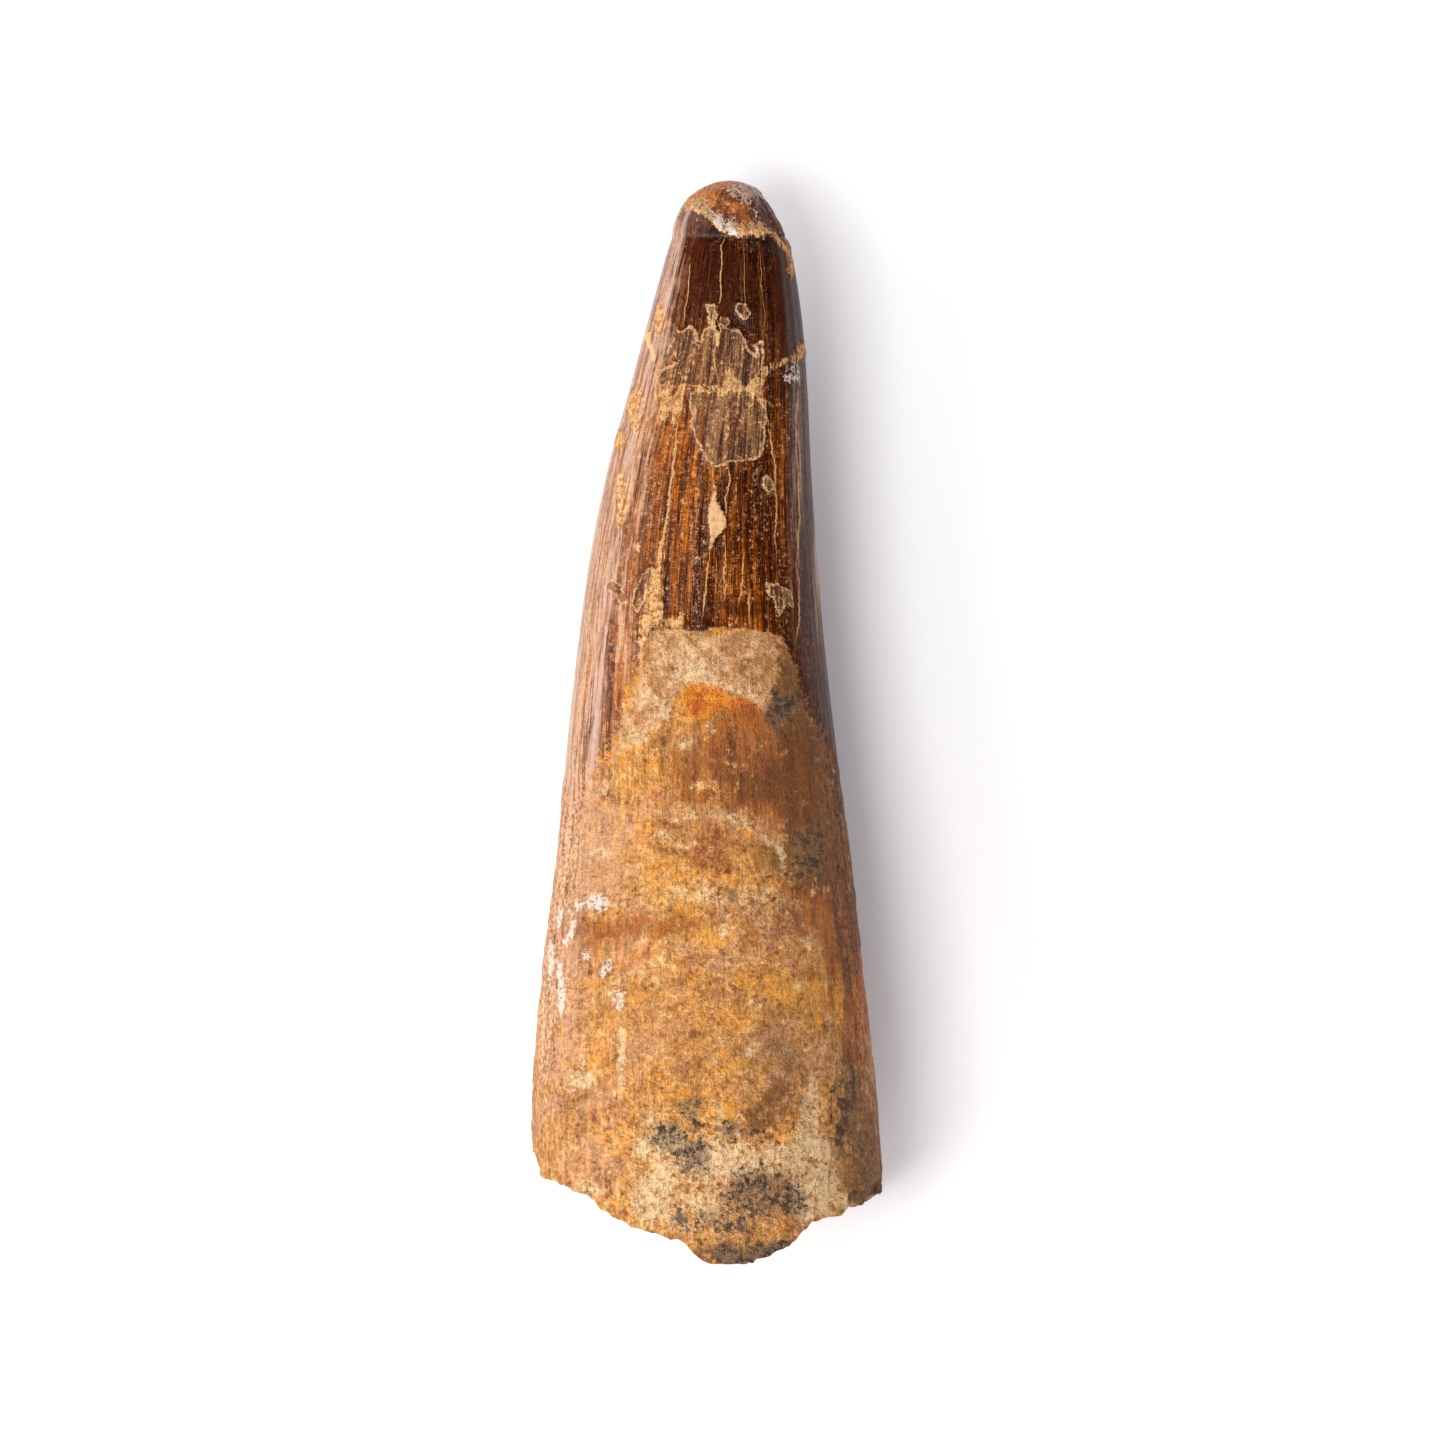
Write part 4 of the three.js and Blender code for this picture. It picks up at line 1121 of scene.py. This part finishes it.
    def worn_tip(self):
        """The core at the tip, and the sandy rim of the enamel round it."""
        grit, grains = self.grit, self.grains
        level = self.patchy + 0.4 * self.streaks - 1.2 * self.field("tone_dark")
        core = self.blend(level, -0.7, 0.5, CORE_DARK, CORE_RED)
        sandy = self.field("tone_amber") * (1.0 + self.fine)
        core = self.blend(sandy, 0.3, 0.8, core, CORE_ORANGE, 0.85)
        specks = grit + 0.4 * grains + 1.4 * self.field("tone_pale")
        core = self.blend(specks, 0.75, 1.2, core, CORE_PALE, 0.9)
        self.cover(self.on_core, self.brighten(core, 0.35 * grit), 0.38)
        rim = self.blend(grit, -0.9, 0.2, SAND_DARK, PUTTY)
        rim = self.blend(grains, 0.3, 0.7, rim, CORE_PALE)
        self.cover(0.9 * self.border("core", 0.62, 0.6), rim, 0.75)

    def film(self):
        """A brown film on the enamel, with a pale edge."""
        patchy, grit, streaks = self.patchy, self.grit, self.streaks
        film = self.blend(streaks + 0.4 * self.fine, -0.5, 0.5, FILM_DARK, FILM)
        specks = 0.8 * grit + 0.4 * self.grains + 0.5 * streaks
        film = self.blend(specks, 0.4, 1.1, film, FILM_LIGHT, 0.7)
        solid = 0.12 + 0.8 * self.step(streaks + 0.7 * patchy, -0.8, 0.2)
        solid = solid * self.inside("film", 0.05, 0.2)
        self.cover(solid, self.brighten(film, 0.4 * grit), 0.42)
        edge = self.border("film", 0.12, 0.16) * self.step(patchy + grit, -1.1, 0.0)
        self.cover(0.85 * edge, self.brighten(FILM_LIGHT, self.texture), 0.6)

    def crusts(self):
        """The crust at the crown's foot, with rust, sand, putty and amber."""
        patchy, grit, fine, grains = self.patchy, self.grit, self.fine, self.grains
        crust = self.blend(patchy + 0.2 * grains, -0.5, 0.8, CRUST, CRUST_LIGHT)
        crust = self.blend(fine + 0.6 * patchy, -0.2, -1.0, crust, CRUST_DARK, 0.7)
        crust = self.brighten(crust, 0.3 * grit + 0.14 * self.streaks - 0.04)
        self.cover(0.85 * self.inside("crust", 0.3, 0.5), crust, 0.75)
        self.cover(0.35 * self.border("crust", 0.2, 0.3), CRUST_LIGHT)
        self.tone("rust", 0.85, self.blend(grit, -0.8, 0.8, RUST, ROOT_BROWN))
        sandy = self.field("sand") + 0.22 * fine + 0.3 * self.streaks - 0.05
        sand = self.brighten(self.sand(), 0.25 * grains)
        self.cover(0.92 * self.step(sandy, -0.1, 0.12), sand, 0.8)
        putty = self.blend(grit, -1.1, 0.2, PUTTY_DARK, PUTTY)
        self.cover(self.inside("putty", 0.07, 0.12), putty, 0.8)
        glow = self.blend(patchy + 0.5 * fine, -0.7, 0.5, AMBER_DEEP, AMBER)
        glow = self.blend(fine, 0.2, 1.0, glow, GOLD, 0.45)
        glow = self.blend(self.field("tone_red"), 0.25, 0.9, glow, AMBER_BROWN, 0.8)
        self.cover(0.95 * self.inside("amber", 0.25, 0.4), glow, 0.3)
        bright = self.field("bright") + 0.35 * fine + 0.15 * grains
        pale = self.brighten(CRUST_PALE, self.texture)
        self.cover(0.75 * self.step(bright, -0.12, 0.3), pale, 0.75)

    def sand(self):
        """The colour of sand, whether stuck to the tooth or filling its broken end."""
        return self.blend(self.grit + 0.3 * self.grains, -0.9, 0.4, SAND_DARK, SAND)

    def soot_and_chalk(self):
        """Black and white specks, the white ones mostly off the enamel."""
        self.cover(0.55 * self.inside("soot", 0.5, 0.6), SMOKE, 0.6)
        sooty = 0.8 * self.math("MINIMUM", self.field("soot"), 0.6)
        sooty = sooty + 0.9 * self.fine - 0.4 * self.grains
        soot = self.brighten(SOOT, 2.0 * self.texture)
        self.cover(0.85 * self.step(sooty, 0.15, 0.85), soot, 0.55)
        chalk = self.blend(self.grit + 0.5 * self.grains, -1.5, -0.5, CHALK_GREY, CHALK)
        chalky = self.field("chalk") + 0.32 * self.fine + 0.12 * self.grains
        bare = 0.8 * (1 - self.on_enamel) + 1.1 * self.border("core", 0.62, 0.6)
        speckled = self.grit + 0.4 * self.streaks + bare
        chalky = self.step(chalky, -0.05, 0.15) * self.step(speckled, -0.1, 0.6)
        self.cover(0.9 * chalky, chalk, 0.85)

    def lines(self):
        """Fine cream and dark lines along the tooth."""
        broken_up = self.step(self.patchy + 0.6 * self.grit, -1.1, -0.3)
        for number in range(len(cream)):
            away = abs(self.field(f"cream_{number}") + 0.9 * self.fine)
            self.cover(0.85 * broken_up * self.step(away, 0.9, 0.4), CREAM, 0.7)
        away = abs(self.field("dark_line") + 0.8 * self.fine)
        self.cover(0.5 * broken_up * self.step(away, 1.0, 0.3), BLACK, 0.7)

    def broken_end(self):
        """Sandy matrix filling the middle, with a ring of bare dentine round it."""
        inward = self.field("broken")
        on_face = self.step(inward, 0.02, 0.1)
        layers = self.math("SINE", GROWTH_LINES * inward + 2.5 * self.patchy)
        ring = self.blend(layers + 1.2 * self.fine, -1.8, 1.8, ROOT_BROWN, ROOT_OCHRE)
        ring = self.brighten(ring, 0.4 * self.grit)
        face = self.blend(inward + 0.06 * self.patchy, 0.52, 0.58, ring, self.sand())
        self.cover(on_face, face, 0.8)
        self.cover(0.5 * on_face * self.step(self.patchy, 0.35, 0.8), SMOKE)

    def bumps(self):
        """The finest relief, as a surface normal."""
        fine, grit = self.fine, self.grit
        rootward = self.math("MAXIMUM", 1 - self.on_enamel, self.on_core)
        height = rootward * (0.6 * fine + 0.65 * grit + 0.25 * self.grains)
        height = height + self.streaks * (0.1 + 0.15 * rootward)
        height = height + (1 - rootward) * (0.07 * grit)
        height = height + self.inside("sand") * (0.6 * grit) + self.inside("film") * (0.35 * grit)
        inputs = {"Height": height, "Distance": BUMP_HEIGHT, "Strength": 1.0}
        return self.node("ShaderNodeBump", "Normal", inputs)


def tooth_material():
    made = bpy.data.materials.new("fossil_tooth")
    made.use_nodes = True
    shader = made.node_tree.nodes["Principled BSDF"].inputs
    skin = Skin(made.node_tree)
    skin.root()
    skin.enamel()
    skin.worn_tip()
    skin.film()
    skin.crusts()
    skin.soot_and_chalk()
    skin.lines()
    skin.broken_end()
    skin.link(skin.colour, shader["Base Color"])
    skin.link(skin.rough + 0.05 * skin.fine, shader["Roughness"])
    skin.link(skin.bumps(), shader["Normal"])
    shader["IOR"].default_value = IOR
    shader["Specular IOR Level"].default_value = SPECULAR_LEVEL
    return made


mesh.materials.append(tooth_material())
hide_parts("tooth")
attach(tooth, "root")

# ---------------------------------------------------------------- floor, light and camera
FLOOR_HALF = 1.5
FLOOR_ALBEDO = 0.79
around = ((-1, -1), (1, -1), (1, 1), (-1, 1))
corners = [(side * FLOOR_HALF, end * FLOOR_HALF, 0) for side, end in around]
floor_mesh = bpy.data.meshes.new("floor")
floor_mesh.from_pydata(corners, [], [(0, 1, 2, 3)])
floor = bpy.data.objects.new("floor", floor_mesh)
floor_look = bpy.data.materials.new("floor")
floor_look.use_nodes = True
floor_shader = floor_look.node_tree.nodes["Principled BSDF"].inputs
floor_shader["Base Color"].default_value = (FLOOR_ALBEDO, FLOOR_ALBEDO, FLOOR_ALBEDO, 1)
floor_shader["Roughness"].default_value = 0.9
floor_shader["Specular IOR Level"].default_value = 0.1
floor_mesh.materials.append(floor_look)
bpy.context.scene.collection.objects.link(floor)


def soft_light(name, direction, distance, width, height, radiance):
    """A rectangular light that faces the tooth from a direction."""
    data = bpy.data.lights.new(name, "AREA")
    data.shape = "RECTANGLE"
    data.size, data.size_y = width, height
    data.energy = radiance * math.pi * width * height
    light = bpy.data.objects.new(name, data)
    light.location = Vector(direction).normalized() * distance
    light.rotation_euler = Vector(direction).to_track_quat("Z", "Y").to_euler()
    bpy.context.scene.collection.objects.link(light)


soft_light("key", (-0.33, -0.13, 0.94), 0.9, 0.42, 0.42, 10.0)
soft_light("left", (-0.88, -0.12, 0.47), 0.7, 0.9, 0.5, 4.0)

# The room: dim overhead and to the right, bright beyond the tip and behind the broken end.
SKY_OVERHEAD = (0.03, 0.03, 0.03, 1)
SKY_SIDES = (0.12, 0.12, 0.12, 1)
SKY_BEYOND_TIP = (3.2, 3.04, 3.22, 1)
SKY_BEHIND_BREAK = (4.2, 4.0, 4.22, 1)
world = bpy.data.worlds.new("studio")
world.use_nodes = True
bpy.context.scene.world = world
sky = Paint(world.node_tree)
facing = sky.node("ShaderNodeTexCoord", "Generated")
upward, tipward = (sky.node("ShaderNodeSeparateXYZ", axis, {0: facing}) for axis in "ZY")
room = sky.blend(upward, 0.93, 0.75, SKY_OVERHEAD, SKY_SIDES)
ends = sky.blend(tipward, -0.5, 0.5, SKY_BEHIND_BREAK, SKY_BEYOND_TIP)
room = sky.blend(abs(tipward), 0.5, 0.92, room, ends)
sky.link(room, world.node_tree.nodes["Background"].inputs["Color"])

CAMERA_AT = (0.00121, -0.00012, 1.684)
LENS = 500.0
SENSOR = 36.0
camera_data = bpy.data.cameras.new("camera")
camera_data.lens = LENS
camera_data.sensor_width = SENSOR
camera = bpy.data.objects.new("camera", camera_data)
camera.location = CAMERA_AT
bpy.context.scene.collection.objects.link(camera)
bpy.context.scene.camera = camera
bpy.context.scene.view_settings.view_transform = "Standard"
